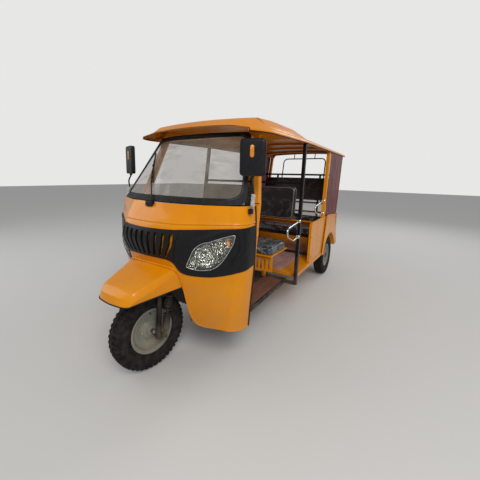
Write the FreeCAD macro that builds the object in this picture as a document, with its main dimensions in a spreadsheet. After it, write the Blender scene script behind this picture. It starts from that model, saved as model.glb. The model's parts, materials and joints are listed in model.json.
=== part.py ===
import FreeCAD, Part
import math
import os
import Sketcher

# Auto rickshaw, millimetres. It faces -Y and stands on z = 0, and +X is its left side.
# The origin is on the ground under the middle of its length.
# Stations along the vehicle are measured back from the front axle.

V = FreeCAD.Vector
doc = FreeCAD.newDocument("auto_rickshaw")
sheet = doc.addObject("Spreadsheet::Sheet", "dims")

SIZES = [
    ("front_axle_y", -1581, "front axle, from the origin"),
    ("wheelbase", 2700, "front axle to rear axle"),
    ("rear_track", 1116, "between the rear wheels' middle planes"),
    ("tyre_radius", 278, "4.50-12 tyre"),
    ("tyre_width", 122, "tyre section"),
    ("rim_radius", 163, "rim flange"),
    ("rim_half", 50, "half of the rim's width over its flanges"),
    ("seat_fit", 0.3, "rim to tyre bead, and soft pad to its board"),
    ("axle_radius", 10, "front axle"),
    ("stub_radius", 19, "rear axle's ends"),
    ("hub_radius", 44, "hub and brake drum's nave"),
    ("drum_radius", 84, "brake drum"),
    ("pin_gap", 0.3, "round a pin or shaft in its bore"),
    ("steer_rest", -10, "how far the front wheel is turned at rest, degrees"),
    ("head_rake", 22, "steering axis back from upright, degrees"),
    ("head_offset", 60, "steering axis behind the front axle at axle height"),
    ("stem_radius", 17, "steering stem"),
    ("head_wall", 9, "steering head's wall"),
    ("head_low", 700, "bottom of the steering head"),
    ("head_high", 880, "top of the steering head"),
    ("crown_z", 592, "underside of the fork's crown"),
    ("crown_thick", 24, "fork crown"),
    ("fork_half", 86, "from the middle plane to a fork leg"),
    ("leg_radius", 19, "fork leg"),
    ("shock_out", 33, "shock absorber out from the fork leg"),
    ("link_pivot_y", 23, "link pivot behind the front axle"),
    ("link_pivot_z", 238, "link pivot's height"),
    ("bar_z", 1085, "handlebar's height"),
    ("bar_half", 330, "half of the handlebar"),
    ("half_width", 640, "body side from the middle plane"),
    ("skin", 3, "pressed sheet and moulded panels"),
    ("cab_rear_y", 400, "rear edge of the front cab"),
    ("well_half", 254, "wheel opening from the middle plane"),
    ("well_top", 640, "top of the wheel opening"),
    ("well_rear_y", 348, "rear wall of the wheel well"),
    ("cab_foot_z", 305, "lower edge of the cab"),
    ("belt_z", 1206, "top of the cab under the windscreen"),
    ("mask_gap", 0.4, "mask off the cab's skin"),
    ("mask_thick", 4.5, "mask"),
    ("glass_thick", 5, "windscreen"),
    ("glass_top_z", 1722, "top of the windscreen"),
    ("seal_width", 26, "rubber round the windscreen"),
    ("roof_z", 1765, "eave at mid length"),
    ("roof_front_y", 430, "front edge of the roof"),
    ("roof_behind", 760, "rear edge of the roof behind the rear axle"),
    ("bench_depth", 386, "driver's bench"),
    ("roof_in", 6, "eave in from the body's side"),
    ("rail_size", 50, "chassis rail"),
    ("rail_z", 278, "underside of the chassis rails"),
    ("rail_half", 250, "chassis rail from the middle plane"),
    ("drive_floor_z", 345, "driver's floor"),
    ("ride_floor_z", 406, "passengers' floor"),
    ("floor_thick", 17, "floor pan"),
    ("mat_thick", 5, "floor mats"),
    ("step_y", 1346, "front of the passengers' floor"),
    ("post_y", 1296, "foot of the side post"),
    ("post_top_y", 1474, "top of the side post"),
    ("post_lean_in", 27, "how far the side post's top stands in from its foot"),
    ("post_size", 32, "side post"),
    ("bench_y", 900, "front of the driver's bench"),
    ("bench_z", 696, "underside of the driver's cushion"),
    ("cushion_thick", 70, "bench cushions"),
    ("cushion_in", 95, "driver's bench in from the body's side"),
    ("back_thick", 55, "backrests"),
    ("back_in", 52, "backrest in from the body's side"),
    ("back_low", 965, "bottom of the driver's backrest"),
    ("back_high", 1322, "top of the driver's backrest"),
    ("rail_tube", 25, "backrest rails"),
    ("mid_ahead", 750, "front of the middle bench ahead of the rear axle"),
    ("mid_depth", 300, "middle bench"),
    ("mid_z", 700, "underside of the middle cushion"),
    ("panel_share", 0.85, "share of a change of the wheelbase that moves the side panels' front"),
    ("panel_ahead", 500, "side panels' front ahead of that share of the wheelbase"),
    ("panel_top_z", 876, "top of the side panels"),
    ("panel_round", 60, "side panel's upper front corner"),
    ("aft_ahead", 200, "front of the rear cushion ahead of the rear axle"),
    ("aft_depth", 440, "rear bench"),
    ("aft_z", 785, "underside of the rear cushion"),
    ("aft_back_low", 1045, "bottom of the rear backrest"),
    ("aft_back_high", 1415, "top of the rear backrest"),
    ("guard_ahead", 390, "front of the rear mudguard panels ahead of the rear axle"),
    ("guard_behind", 440, "lower rear end of the body behind the rear axle"),
    ("guard_top_z", 900, "top of the mudguard panels"),
    ("guard_thick", 8, "mudguard panel with its rolled edge"),
    ("arch_radius", 338, "rear wheel arch"),
    ("tail_lean", 200, "how far the rear wall's top lies behind its foot"),
    ("pillar_ahead", 376, "foot of the rear pillar ahead of the rear axle"),
    ("pillar_size", 42, "rear pillars"),
    ("axle_tube", 36, "rear axle tube"),
    ("spring_wide", 50, "leaf spring"),
    ("spring_in", 9, "leaf spring in from midway between rail and wheel"),
]


class Size(float):
    """A number that remembers how it was worked out from the sheet."""

    def __new__(cls, value, text=None):
        self = float.__new__(cls, value)
        self.text = text or "%.6f" % float(value)
        return self

    def join(self, sign, other, value, flip=False):
        other = other if isinstance(other, Size) else Size(other)
        pair = (other.text, self.text) if flip else (self.text, other.text)
        return Size(value, "(%s %s %s)" % (pair[0], sign, pair[1]))

    def __add__(self, other):
        return self.join("+", other, float(self) + float(other))

    def __radd__(self, other):
        return self.join("+", other, float(other) + float(self), True)

    def __sub__(self, other):
        return self.join("-", other, float(self) - float(other))

    def __rsub__(self, other):
        return self.join("-", other, float(other) - float(self), True)

    def __mul__(self, other):
        return self.join("*", other, float(self) * float(other))

    def __rmul__(self, other):
        return self.join("*", other, float(other) * float(self), True)

    def __truediv__(self, other):
        return self.join("/", other, float(self) / float(other))

    def __neg__(self):
        return Size(-float(self), "(-1 * %s)" % self.text)


class Sizes:
    pass


s = Sizes()
for row, (name, value, note) in enumerate(SIZES, 1):
    sheet.set("A%d" % row, name)
    sheet.set("B%d" % row, str(value))
    sheet.setAlias("B%d" % row, name)
    sheet.set("C%d" % row, note)
doc.recompute()
for name, value, note in SIZES:
    setattr(s, name, Size(float(sheet.get(name)), "dims." + name))

# Widths that follow the body's side, and stations that follow the rear axle.
s.roof_half = s.half_width - s.roof_in
s.cushion_half = s.half_width - s.cushion_in
s.back_half = s.half_width - s.back_in
s.spring_half = (s.rail_half + s.rear_track / 2) / 2 - s.spring_in
s.mid_y = s.wheelbase - s.mid_ahead
s.aft_y = s.wheelbase - s.aft_ahead
s.guard_y = s.wheelbase - s.guard_ahead
s.guard_rear_y = s.wheelbase + s.guard_behind
s.pillar_y = s.wheelbase - s.pillar_ahead
s.panel_y = s.wheelbase * s.panel_share - s.panel_ahead
s.roof_rear_y = s.wheelbase + s.roof_behind

nodes = []
SIDES = (("left", 1), ("right", -1))


def bind(obj, prop, size):
    """Tie a property to the sheet, or set it where it is a plain number."""
    if isinstance(size, Size) and "dims." in size.text:
        obj.setExpression(prop, size.text)
    elif prop.startswith("Placement.Base."):
        setattr(obj.Placement.Base, prop[-1], float(size))
    else:
        setattr(obj, prop, float(size))


def place(obj, x, y, z, axis=None, angle=0):
    """Put a piece at x, y, z, turned by an angle about an axis."""
    turn = FreeCAD.Rotation(V(*axis), angle) if axis else FreeCAD.Rotation()
    obj.Placement = FreeCAD.Placement(V(float(x), float(y), float(z)), turn)
    for letter, size in (("x", x), ("y", y), ("z", z)):
        bind(obj, "Placement.Base." + letter, size)
    return obj


def box(name, x, y, z):
    """A block between two positions on each axis."""
    obj = doc.addObject("Part::Box", name)
    for prop, (low, high) in (("Length", x), ("Width", y), ("Height", z)):
        bind(obj, prop, high - low)
    return place(obj, x[0], y[0], z[0])


def cut(name, base, tool):
    obj = doc.addObject("Part::Cut", name)
    obj.Base = base
    obj.Tool = tool
    return obj


def fuse(name, shapes):
    if len(shapes) == 1:
        return shapes[0]
    obj = doc.addObject("Part::MultiFuse", name)
    obj.Shapes = shapes
    return obj


def shape(name, solid):
    """A piece whose solid is worked out here from the sheet's sizes."""
    obj = doc.addObject("Part::Feature", name)
    obj.Shape = solid
    return obj


def node(name, obj):
    """Name a sub-part."""
    obj.Label = name
    nodes.append(obj)
    return obj


def plane_of(body, role):
    return [o for o in body.Origin.OriginFeatures if o.Role == role][0]


def sketch_of(body, name, role, points):
    """A closed outline of straight edges, with every corner tied to the sheet."""
    sk = body.newObject("Sketcher::SketchObject", name)
    sk.AttachmentSupport = [(plane_of(body, role), "")]
    sk.MapMode = "FlatFace"
    count = len(points)
    for i in range(count):
        a = points[i]
        b = points[(i + 1) % count]
        line = Part.LineSegment(V(float(a[0]), float(a[1]), 0), V(float(b[0]), float(b[1]), 0))
        sk.addGeometry(line, False)
    for i in range(count):
        sk.addConstraint(Sketcher.Constraint("Coincident", i, 2, (i + 1) % count, 1))
    for i, (u, v) in enumerate(points):
        for kind, size in (("DistanceX", u), ("DistanceY", v)):
            k = sk.addConstraint(Sketcher.Constraint(kind, -1, 1, i, 1, float(size)))
            if isinstance(size, Size) and "dims." in size.text:
                sk.setExpression("Constraints[%d]" % k, size.text)
    return sk


def lathe(name, points, x, y, z):
    """A turned piece about a line along X; its outline is (along the axis, radius)."""
    body = doc.addObject("PartDesign::Body", name)
    sk = sketch_of(body, name + "_profile", "XY_Plane", points)
    turned = body.newObject("PartDesign::Revolution", name + "_turn")
    turned.Profile = sk
    turned.ReferenceAxis = (sk, ["H_Axis"])
    turned.Angle = 360
    return place(body, x, y, z)


def Y(station):
    """A station behind the front axle."""
    return s.front_axle_y + station


def polygon(points):
    return Part.makePolygon([V(*p) for p in points] + [V(*points[0])])


def bent_path(points, bend):
    """Straight runs joined by tangent arcs."""
    pts = [V(*[float(c) for c in p]) for p in points]
    edges = []
    start = pts[0]
    for i in range(1, len(pts) - 1):
        a = (pts[i - 1] - pts[i]).normalize()
        b = (pts[i + 1] - pts[i]).normalize()
        half = a.getAngle(b) / 2
        room = 0.45 * min((pts[i - 1] - pts[i]).Length, (pts[i + 1] - pts[i]).Length)
        back = min(bend / math.tan(half), room)
        radius = back * math.tan(half)
        p = pts[i] + a * back
        q = pts[i] + b * back
        middle = (a + b).normalize()
        top = pts[i] + middle * (radius / math.sin(half) - radius)
        edges.append(Part.makeLine(start, p))
        edges.append(Part.Arc(p, top, q).toShape())
        start = q
    edges.append(Part.makeLine(start, pts[-1]))
    return Part.Wire(edges)


def tube(points, radius, bend=60):
    """A round bar along a bent path."""
    path = bent_path(points, bend)
    first = path.Edges[0]
    ring = Part.Wire(Part.makeCircle(float(radius), first.valueAt(first.FirstParameter),
                                     first.tangentAt(first.FirstParameter)))
    return path.makePipeShell([ring], True, True)


def square_bar(a, b, wide, deep):
    """A square bar from a to b, with its deep side in the plane of the lean along Y."""
    a = V(*[float(c) for c in a])
    b = V(*[float(c) for c in b])
    rise = b - a
    side = V(1, 0, 0) if abs(rise.x) < 0.9 * rise.Length else V(0, 1, 0)
    other = rise.cross(side).normalize()
    side = other.cross(rise).normalize()
    corners = [a + side * (i * float(wide) / 2) + other * (j * float(deep) / 2)
               for i, j in ((-1, -1), (1, -1), (1, 1), (-1, 1))]
    face = Part.Face(Part.makePolygon(corners + [corners[0]]))
    return face.extrude(rise)


def round_box(x, y, z, radius, axis="z"):
    """A block with its four edges along one axis rounded."""
    base = Part.makeBox(float(x[1] - x[0]), float(y[1] - y[0]), float(z[1] - z[0]),
                        V(float(x[0]), float(y[0]), float(z[0])))
    number = "xyz".index(axis)
    edges = []
    for edge in base.Edges:
        way = edge.tangentAt(edge.FirstParameter)
        if abs(way[number]) > 0.99:
            edges.append(edge)
    return base.makeFillet(float(radius), edges)


# Wheels: tyre and pressed rim, turned about the axle.

def wheel(name, x, y, z, half_hub, bore):
    w = s.tyre_width / 2
    r = s.tyre_radius
    bead = s.rim_radius - 8
    lip = s.rim_half - 5 - s.seat_fit
    tyre = lathe(name + "_tyre_body", [
        (-lip, bead), (-lip, s.rim_radius + 1.5), (-w * 0.97, bead + 32), (-w, r - 62), (-w * 0.95, r - 26),
        (-w * 0.80, r - 7), (-w * 0.40, r), (w * 0.40, r), (w * 0.80, r - 7), (w * 0.95, r - 26), (w, r - 62),
        (w * 0.97, bead + 32), (lip, s.rim_radius + 1.5), (lip, bead)], x, y, z)
    seat = bead - s.seat_fit
    disc = s.rim_half - 34
    rim = lathe(name + "_rim_body", [
        (-half_hub, bore), (-half_hub, s.hub_radius), (disc - 50, s.hub_radius), (disc - 50, s.drum_radius),
        (disc, s.drum_radius), (disc + 2, seat - 22), (-s.rim_half + 8, seat - 18), (-s.rim_half, seat - 4),
        (-s.rim_half, s.rim_radius), (-s.rim_half + 4, s.rim_radius), (-s.rim_half + 5, seat),
        (s.rim_half - 5, seat), (s.rim_half - 4, s.rim_radius), (s.rim_half, s.rim_radius),
        (s.rim_half, seat - 4), (s.rim_half - 8, seat - 18), (disc + 8, seat - 22),
        (disc + 6, s.drum_radius - 4),
        (disc + 14, s.hub_radius + 8), (half_hub, s.hub_radius - 6), (half_hub, bore)], x, y, z)
    return tyre, rim


rear_y = Y(s.wheelbase)
for side, sign in SIDES:
    tyre, rim = wheel("rear_" + side, s.rear_track / 2 * sign, rear_y, s.tyre_radius, s.rim_half - 6,
                      s.stub_radius + s.pin_gap)
    if sign < 0:
        rim.Placement = FreeCAD.Placement(rim.Placement.Base, FreeCAD.Rotation(V(0, 0, 1), 180))
    node("rear_tyre_" + side, tyre)
    node("rear_rim_" + side, rim)

# Steered front end, built straight ahead and then turned about the raked head.

rake = math.radians(s.head_rake)
slope = math.tan(rake)
head_way = V(0, math.sin(rake), math.cos(rake))
head_y = float(Y(s.head_offset))


def on_head(z):
    """The point of the steering axis at a height."""
    return V(0, head_y + (float(z) - float(s.tyre_radius)) * slope, float(z))


def steered(obj):
    """Turn a piece of the front end by the rest angle about the steering axis."""
    turn = FreeCAD.Rotation(head_way, float(s.steer_rest))
    base = on_head(s.tyre_radius)
    obj.Placement = FreeCAD.Placement(base - turn.multVec(base), turn).multiply(obj.Placement)
    return obj

hub_end = s.rim_half - 4
tyre, rim = wheel("front", 0, float(Y(0)), float(s.tyre_radius), hub_end, s.axle_radius + s.pin_gap)
node("front_tyre", steered(tyre))
node("front_rim", steered(rim))

# The fork: a crown plate over the tyre, a leaning leg each side, links and the axle between them.
crown_rear = head_y + (float(s.crown_z) - float(s.tyre_radius)) * slope + 30
fork_y = float(Y(58))
crown_front = fork_y - 16
wide = float(s.fork_half) + float(s.leg_radius) + 4
crown_line = [(wide, crown_front), (wide - 4, crown_front - 10), (wide - 18, crown_front - 18)]
crown_line = [(wide - 30, crown_rear), (wide, crown_front + 46)] + crown_line
crown_line += [(-x, y) for x, y in reversed(crown_line)]
crown = Part.Face(polygon([(x, y, float(s.crown_z)) for x, y in crown_line]))
crown = crown.extrude(V(0, 0, float(s.crown_thick)))
stem_start = on_head(s.crown_z + s.crown_thick / 2)
stem_end = on_head(s.bar_z)
stem = Part.makeCylinder(float(s.stem_radius), (stem_end - stem_start).Length, stem_start, head_way)
solid = crown.fuse(stem)
pivot_y = float(Y(s.link_pivot_y))
pivot_z = float(s.link_pivot_z)
shock_low = V(float(s.fork_half + s.shock_out), float(Y(54)), 242)
shock_high = V(float(s.fork_half + s.shock_out), float(Y(112)), 531)
for side, sign in SIDES:
    x = float(s.fork_half) * sign
    foot = V(x, pivot_y, pivot_z)
    rise = V(x, fork_y, float(s.crown_z) + 2) - foot
    leg = Part.makeCylinder(float(s.leg_radius), rise.Length, foot, rise)
    knuckle = Part.makeCylinder(float(s.leg_radius) + 2, 30, foot - V(15, 0, 0), V(1, 0, 0))
    ear = Part.makeBox(float(s.shock_out) + 18, shock_high.y + 12 - fork_y + 6, 22,
                       V(min(x, shock_high.x * sign) - 9, fork_y - 6, shock_high.z))
    solid = solid.fuse([leg, knuckle, ear])
node("fork", steered(shape("fork_solid", solid.removeSplitter())))

arms = []
plate_low = float(hub_end) + 4
axle_y = float(Y(0))
axle_z = float(s.tyre_radius)
for side, sign in SIDES:
    boss = Part.makeCylinder(15, 12, V(0, axle_y, axle_z), V(1, 0, 0))
    web = Part.Face(polygon([
        (0, axle_y - 12, axle_z - 10), (0, pivot_y - 6, pivot_z - 12),
        (0, shock_low.y + 14, shock_low.z - 16),
        (0, shock_low.y + 14, shock_low.z + 10), (0, axle_y + 2, axle_z + 14)])).extrude(V(12, 0, 0))
    leg_in = float(s.fork_half - s.leg_radius) - 0.3
    hinge_pin = Part.makeCylinder(7, leg_in - plate_low, V(0, pivot_y, pivot_z), V(1, 0, 0))
    eye_in = shock_low.x - 18.3
    shock_pin = Part.makeCylinder(8, eye_in - plate_low, V(0, shock_low.y, shock_low.z), V(1, 0, 0))
    arm = boss.fuse([web, hinge_pin, shock_pin]).removeSplitter()
    arm.translate(V(plate_low, 0, 0))
    arms.append(arm if sign > 0 else arm.mirror(V(0, 0, 0), V(1, 0, 0)))
axle = Part.makeCylinder(float(s.axle_radius), 2 * plate_low + 24, V(-plate_low - 12, axle_y, axle_z),
                         V(1, 0, 0))
linkage = arms[0].fuse([arms[1], axle])
node("fork_links", steered(shape("fork_links_solid", linkage.removeSplitter())))

# A damper's body, its coil spring over the upper part, and the eye that its lower pin goes into.
dampers = []
for side, sign in SIDES:
    low = V(shock_low.x * sign, shock_low.y, shock_low.z)
    rise = V(shock_high.x * sign, shock_high.y, shock_high.z) - low
    eye = Part.makeCylinder(16, 36, low - V(18, 0, 0), V(1, 0, 0))
    shank = Part.makeCylinder(12, rise.Length, low, rise)
    sleeve = Part.makeCylinder(25, rise.Length * 0.36, low + rise * 0.18, rise)
    coil = Part.makeCylinder(34, rise.Length * 0.40 + 12, low + rise * 0.60, rise)
    damper = eye.fuse([shank, sleeve, coil])
    above = Part.makeBox(90, 120, 60, V(low.x - 45, shock_high.y - 60, shock_high.z - 0.3))
    dampers.append(damper.cut(above).removeSplitter())
node("fork_springs", steered(shape("fork_springs_solid", Part.makeCompound(dampers))))

top = on_head(s.bar_z)
bar = tube([(-float(s.bar_half), top.y + 95, top.z + 18), (-float(s.bar_half) * 0.55, top.y + 60, top.z + 18),
            (-90, top.y, top.z + 12), (90, top.y, top.z + 12),
            (float(s.bar_half) * 0.55, top.y + 60, top.z + 18), (float(s.bar_half), top.y + 95, top.z + 18)],
           11, 50)
clamp = Part.makeCylinder(float(s.stem_radius) + 9, 34, on_head(s.bar_z), head_way)
node("handlebar", steered(shape("handlebar_solid", bar.fuse(clamp).removeSplitter())))
grips = []
for side, sign in SIDES:
    inner_end = V(float(s.bar_half) * 0.66 * sign, top.y + 69, top.z + 18)
    outer_end = V((float(s.bar_half) + 4) * sign, top.y + 96, top.z + 18)
    grip = Part.makeCylinder(16, (outer_end - inner_end).Length, inner_end, outer_end - inner_end)
    grips.append(grip.cut(bar))
node("hand_grips", steered(shape("hand_grips_solid", Part.makeCompound(grips))))

# Front cab: pressed skin through level outlines.

# Height, nose, half nose width and its y, flank's end in from the side and its y,
# side in from the widest, and where the side turns straight.
LEVELS = [
    (s.cab_foot_z, 165, 254, 173, 160, 246, 40, 362),
    (Size(480), 110, 245, 122, 120, 240, 28, 350),
    (Size(640), 52, 225, 66, 92, 236, 14, 338),
    (Size(780), 12, 205, 25, 74, 214, 4, 322),
    (Size(950), -42, 240, -12, 72, 208, 0, 315),
    (Size(1052), -20, 250, 10, 74, 210, 0, 318),
    (Size(1130), 34, 268, 56, 84, 220, 2, 321),
    (s.belt_z, 96, 300, 120, 104, 230, 10, 326),
]
rear_cab = float(Y(s.cab_rear_y))
full = float(s.half_width)


def outline(level, grow, back):
    """One level outline of the cab, moved out of its skin by grow, closed by a straight back."""
    z, nose, nx, ny, flank_in, fy, side_in, wy = [float(v) for v in level]
    fx = full - flank_in
    wx = full - side_in
    base = float(Y(0))
    run = V(fx - nx, fy - ny, 0).normalize()
    out = V(run.y, -run.x, 0)
    p_nose = V(0, base + nose - grow, z)
    bend = V(0.33, -0.94, 0).normalize()
    p_a = V(nx, base + ny, z) + bend * grow
    p_b = V(fx, base + fy, z) + out * grow
    p_c = V(wx + grow, base + wy, z)
    p_d = V(wx + grow, rear_cab + back, z)
    t = (p_c.x - p_b.x) / run.x
    corner = p_b + run * t
    middle = p_b * 0.25 + corner * 0.5 + p_c * 0.25

    def flip(p):
        return V(-p.x, p.y, p.z)

    edges = [
        Part.Arc(flip(p_a), p_nose, p_a).toShape(), Part.makeLine(p_a, p_b),
        Part.Arc(p_b, middle, p_c).toShape(), Part.makeLine(p_c, p_d), Part.makeLine(p_d, flip(p_d)),
        Part.makeLine(flip(p_d), flip(p_c)), Part.Arc(flip(p_c), flip(middle), flip(p_b)).toShape(),
        Part.makeLine(flip(p_b), flip(p_a))]
    return Part.Wire(edges)


def further(level, other, shift):
    """A level outline carried on past the end, along the slope from its neighbour."""
    t = shift / (level[0] - other[0])
    return [a + (a - b) * t for a, b in zip(level, other)]


def cab_solid(grow, back, low=0, high=0):
    """The cab's outside as a solid, grown out of its skin and carried on below and above."""
    levels = [[float(v) for v in level] for level in LEVELS]
    first_level = further(levels[0], levels[1], low)
    last_level = further(levels[-1], levels[-2], high)
    wires = [outline(level, grow, back) for level in [first_level] + levels[1:-1] + [last_level]]
    return Part.makeLoft(wires, True, True)


skin = float(s.skin)
well = float(s.well_half)
foot = float(s.cab_foot_z)
opening = Part.Face(polygon([
    (-well, 0, float(s.well_top)), (well, 0, float(s.well_top)), (well, 0, foot + 90),
    (well + 34, 0, foot + 8),
    (well + 60, 0, foot - 40), (-well - 60, 0, foot - 40), (-well - 34, 0, foot + 8), (-well, 0, foot + 90)]))
opening = opening.extrude(V(0, 1200, 0))
opening.translate(V(0, float(Y(0)) - 500, 0))
cab_out = cab_solid(0, 0)
cab_in = cab_solid(-skin, 10, -10, 10)
cab = cab_out.cut(cab_in).cut(opening)
node("front_cab", shape("front_cab_solid", cab))

# The black mask stands on the skin and carries the grille and the lamps.
nose_half = 240.0


def flank(points):
    """Places on the front beside the nose, as shares of the way from it to the body's side."""
    return [(nose_half + (full - nose_half) * share, z) for share, z in points]


mask_low = [(0, 842), (100, 842), (190, 837), (217, 829), (235, 790)]
mask_low += flank([(0.033, 749), (0.15, 732), (0.253, 722), (0.43, 720), (0.53, 726), (0.74, 744),
                   (0.925, 764), (1.15, 790)])
mask_top = flank([(1.15, 1069), (0.925, 1067), (0.44, 1060)]) + [(0, 1052)]
ring = [(x, 0, z) for x, z in mask_low + mask_top] + [(-x, 0, z) for x, z in reversed(mask_low + mask_top)
                                                     if x > 0]
mask_face = Part.Face(polygon(ring)).extrude(V(0, 1400, 0))
mask_face.translate(V(0, float(Y(0)) - 500, 0))
gap = float(s.mask_gap)
thick = float(s.mask_thick)
mask = cab_solid(gap + thick, 0).cut(cab_solid(gap, 10, -10, 10)).common(mask_face)
slots = []
for i in range(-4, 5):
    top_x = i * 60
    low_x = i * 46
    slots.append(Part.Face(polygon([
        (top_x - 13, 0, 1026), (top_x + 13, 0, 1026), (top_x + 12, 0, 946), (low_x + 10, 0, 860),
        (low_x - 10, 0, 860), (top_x - 12, 0, 946)])).extrude(V(0, 400, 0)))
for slot in slots:
    slot.translate(V(0, float(Y(0)) - 200, 0))
lamp_ring = flank([
    (0.153, 793), (0.195, 836), (0.245, 877), (0.315, 928), (0.42, 963), (0.535, 976), (0.673, 999),
    (0.858, 1019), (0.863, 995), (0.843, 958), (0.78, 901), (0.693, 840), (0.585, 795), (0.453, 773),
    (0.29, 772)])
lamp_middle = flank([(0.525, 890)])[0]
lamps = []
for sign in (1, -1):
    points = [(x * sign, 0, z) for x, z in lamp_ring]
    lamp = Part.Face(polygon(points)).extrude(V(0, 1000, 0))
    lamp.translate(V(0, float(Y(0)) - 300, 0))
    lamps.append(lamp)
mask = mask.cut(slots + lamps)
node("cab_mask", shape("cab_mask_solid", mask))
lens_out = cab_solid(gap + thick + 3, 0)
lens_in = cab_solid(gap, 10, -10, 10)
for (side, sign), lamp in zip(SIDES, lamps):
    middle = V(lamp_middle[0] * sign, 0, lamp_middle[1])
    small = lamp.copy()
    matrix = FreeCAD.Matrix()
    matrix.move(-middle)
    matrix.scale(0.985, 1, 0.985)
    matrix.move(middle)
    small = small.transformGeometry(matrix)
    node("headlamp_" + side, shape("headlamp_solid_" + side, lens_out.cut(lens_in).common(small)))

# The beak over the front wheel: a hood with an upper and a lower crease along each side.
# Station, upper crease, lower crease and lower edge as half width and height, and the middle of the top.
HOOD = [(-306, 58, 646, 64, 624, 64, 596, 650), (-272, 125, 652, 152, 625, 150, 596, 660),
        (-238, 147, 680, 170, 636, 158, 600, 684), (-105, 181, 724, 203, 680, 197, 612, 733),
        (32, 213, 769, 230, 733, 234, 624, 790), (90, 224, 788, 243, 752, 249, 629, 816)]


def hood_wire(row, wall):
    """A section of the beak, drawn in by a wall's thickness on its inside."""
    y, ax, az, bx, bz, cx, cz, top = [float(v) for v in row]
    half = [(cx - wall, cz - wall * 4), (bx - wall, bz - wall * 0.5), (ax - wall * 0.8, az - wall)]
    line = half + [(0, top - wall)] + [(-x, z) for x, z in reversed(half)]
    return polygon([(x, float(Y(y)) + wall * 1.2, z) for x, z in line])


hood_out = Part.makeLoft([hood_wire(row, 0) for row in HOOD], True, True)
hood_in = Part.makeLoft([hood_wire(row, skin) for row in HOOD] + [hood_wire((110,) + HOOD[-1][1:], skin)],
                        True, True)
clear = cab_solid(0.3, 0, -60, 0)
mask_room = mask_face.copy()
mask_room.translate(V(0, 0, -0.3))
mask_room = cab_solid(gap + thick + 0.3, 0).common(mask_room)
hood = hood_out.cut(hood_in).cut(clear).cut(mask_room)
node("front_mudguard", shape("front_mudguard_solid", hood))

# The wheel well: two cheeks, a rear wall and a roof pierced for the stem.
well_out = Part.makeBox(2 * well, float(s.well_rear_y) + 100, float(s.well_top) - foot - 30,
                        V(-well, float(Y(-100)), foot + 30))
well_in = Part.makeBox(2 * (well - skin), float(s.well_rear_y) + 200, float(s.well_top) - foot,
                       V(-well + skin, float(Y(-200)) - skin, foot + 30 - skin))
stem_hole = Part.makeCylinder(70, 200, on_head(s.well_top - 90), head_way)
liner = well_out.cut(well_in).cut(stem_hole).common(cab_solid(-skin - 0.3, 0, -20, 0))
node("wheel_well", shape("wheel_well_solid", liner))

# Windscreen, its seal, pillars and header.
# Height, middle, half chord at a third and its y, end in from the body's side and its y.
GLASS = [(s.belt_z + 2, 112, 330, 146, 22, 300),
         (s.glass_top_z, 508, 260, 522, 166, 588)]


def glass_wire(level, out, side):
    z, mid, qx, qy, end_in, ey = [float(v) for v in level]
    base = float(Y(0))
    pts = []
    for x, y in ((0, mid), (qx, qy), (full - end_in, ey)):
        pts.append(V(x, base + y - out, z))
    end = pts[2] + V(side, side * 0.9, 0)
    return [pts[0], pts[1], end]


def glass_solid(front, back, side, low, high):
    wires = []
    for n, level in enumerate(GLASS):
        f = glass_wire(level, front, side)
        b = glass_wire(level, back, side)
        shift = V(0, 0, low if n == 0 else high)
        f = [p + shift for p in f]
        b = [p + shift for p in b]

        def arc(points):
            left = [V(-p.x, p.y, p.z) for p in points]
            return [Part.Arc(left[2], left[1], points[0]).toShape(),
                    Part.Arc(points[0], points[1], points[2]).toShape()]

        front_edges = arc(f)
        back_edges = arc(b)
        left_f, left_b = V(-f[2].x, f[2].y, f[2].z), V(-b[2].x, b[2].y, b[2].z)
        wires.append(Part.Wire(front_edges + [Part.makeLine(f[2], b[2])] +
                               [e for e in reversed(back_edges)] + [Part.makeLine(left_b, left_f)]))
    return Part.makeLoft(wires, True, True)


glass = glass_solid(0, -float(s.glass_thick), -8, 8, -8)
node("windscreen", shape("windscreen_solid", glass))
ring_out = glass_solid(6, -float(s.glass_thick) - 8, 8, -1.7, 8)
ring_in = glass_solid(40, -60, -float(s.seal_width) + 6, float(s.seal_width), -float(s.seal_width))
seal = ring_out.cut(ring_in).cut(glass_solid(0.3, -float(s.glass_thick) - 0.3, -7.7, 7.7, -7.7))
node("windscreen_seal", shape("windscreen_seal_solid", seal))

pillars = []
for side, sign in SIDES:
    knee = ((full - 38) * sign, Y(488), s.belt_z)
    high = ((full - 140) * sign, Y(664), s.glass_top_z + 2)
    lower = square_bar(((full - 63) * sign, Y(404), s.drive_floor_z - 4), knee, 40, 50)
    upper = square_bar(knee, high, 40, 50)
    pillars.append(lower.fuse(upper).removeSplitter())
header_top = float(s.roof_z) - 22.6
header_half = full - 30
sill_half = full - 50
header = Part.makeBox(2 * header_half, 44, 26, V(-header_half, float(Y(642)), header_top - 26))
sill = Part.makeBox(2 * sill_half, 40, 22, V(-sill_half, float(Y(384)), float(s.drive_floor_z)))
brackets = []
for z, back in ((520, 412), (980, 456)):
    for x in (full - 70, -full):
        brackets.append(Part.makeBox(70, back - 366, 30, V(x, float(Y(366)), z)))
brackets = [piece.common(cab_solid(-skin - 0.3, 100)) for piece in brackets]
hoop = pillars[0].fuse([pillars[1], header, sill] + brackets).removeSplitter()
hoop = hoop.cut(Part.makeBox(2 * full, 200, 80, V(-full, float(Y(330)), float(s.drive_floor_z) - 80)))
hoop = hoop.cut(Part.makeBox(2 * full, 400, 80, V(-full, float(Y(500)), header_top)))
node("front_hoop", shape("front_hoop_solid", hoop))

# Floors and chassis.

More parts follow.
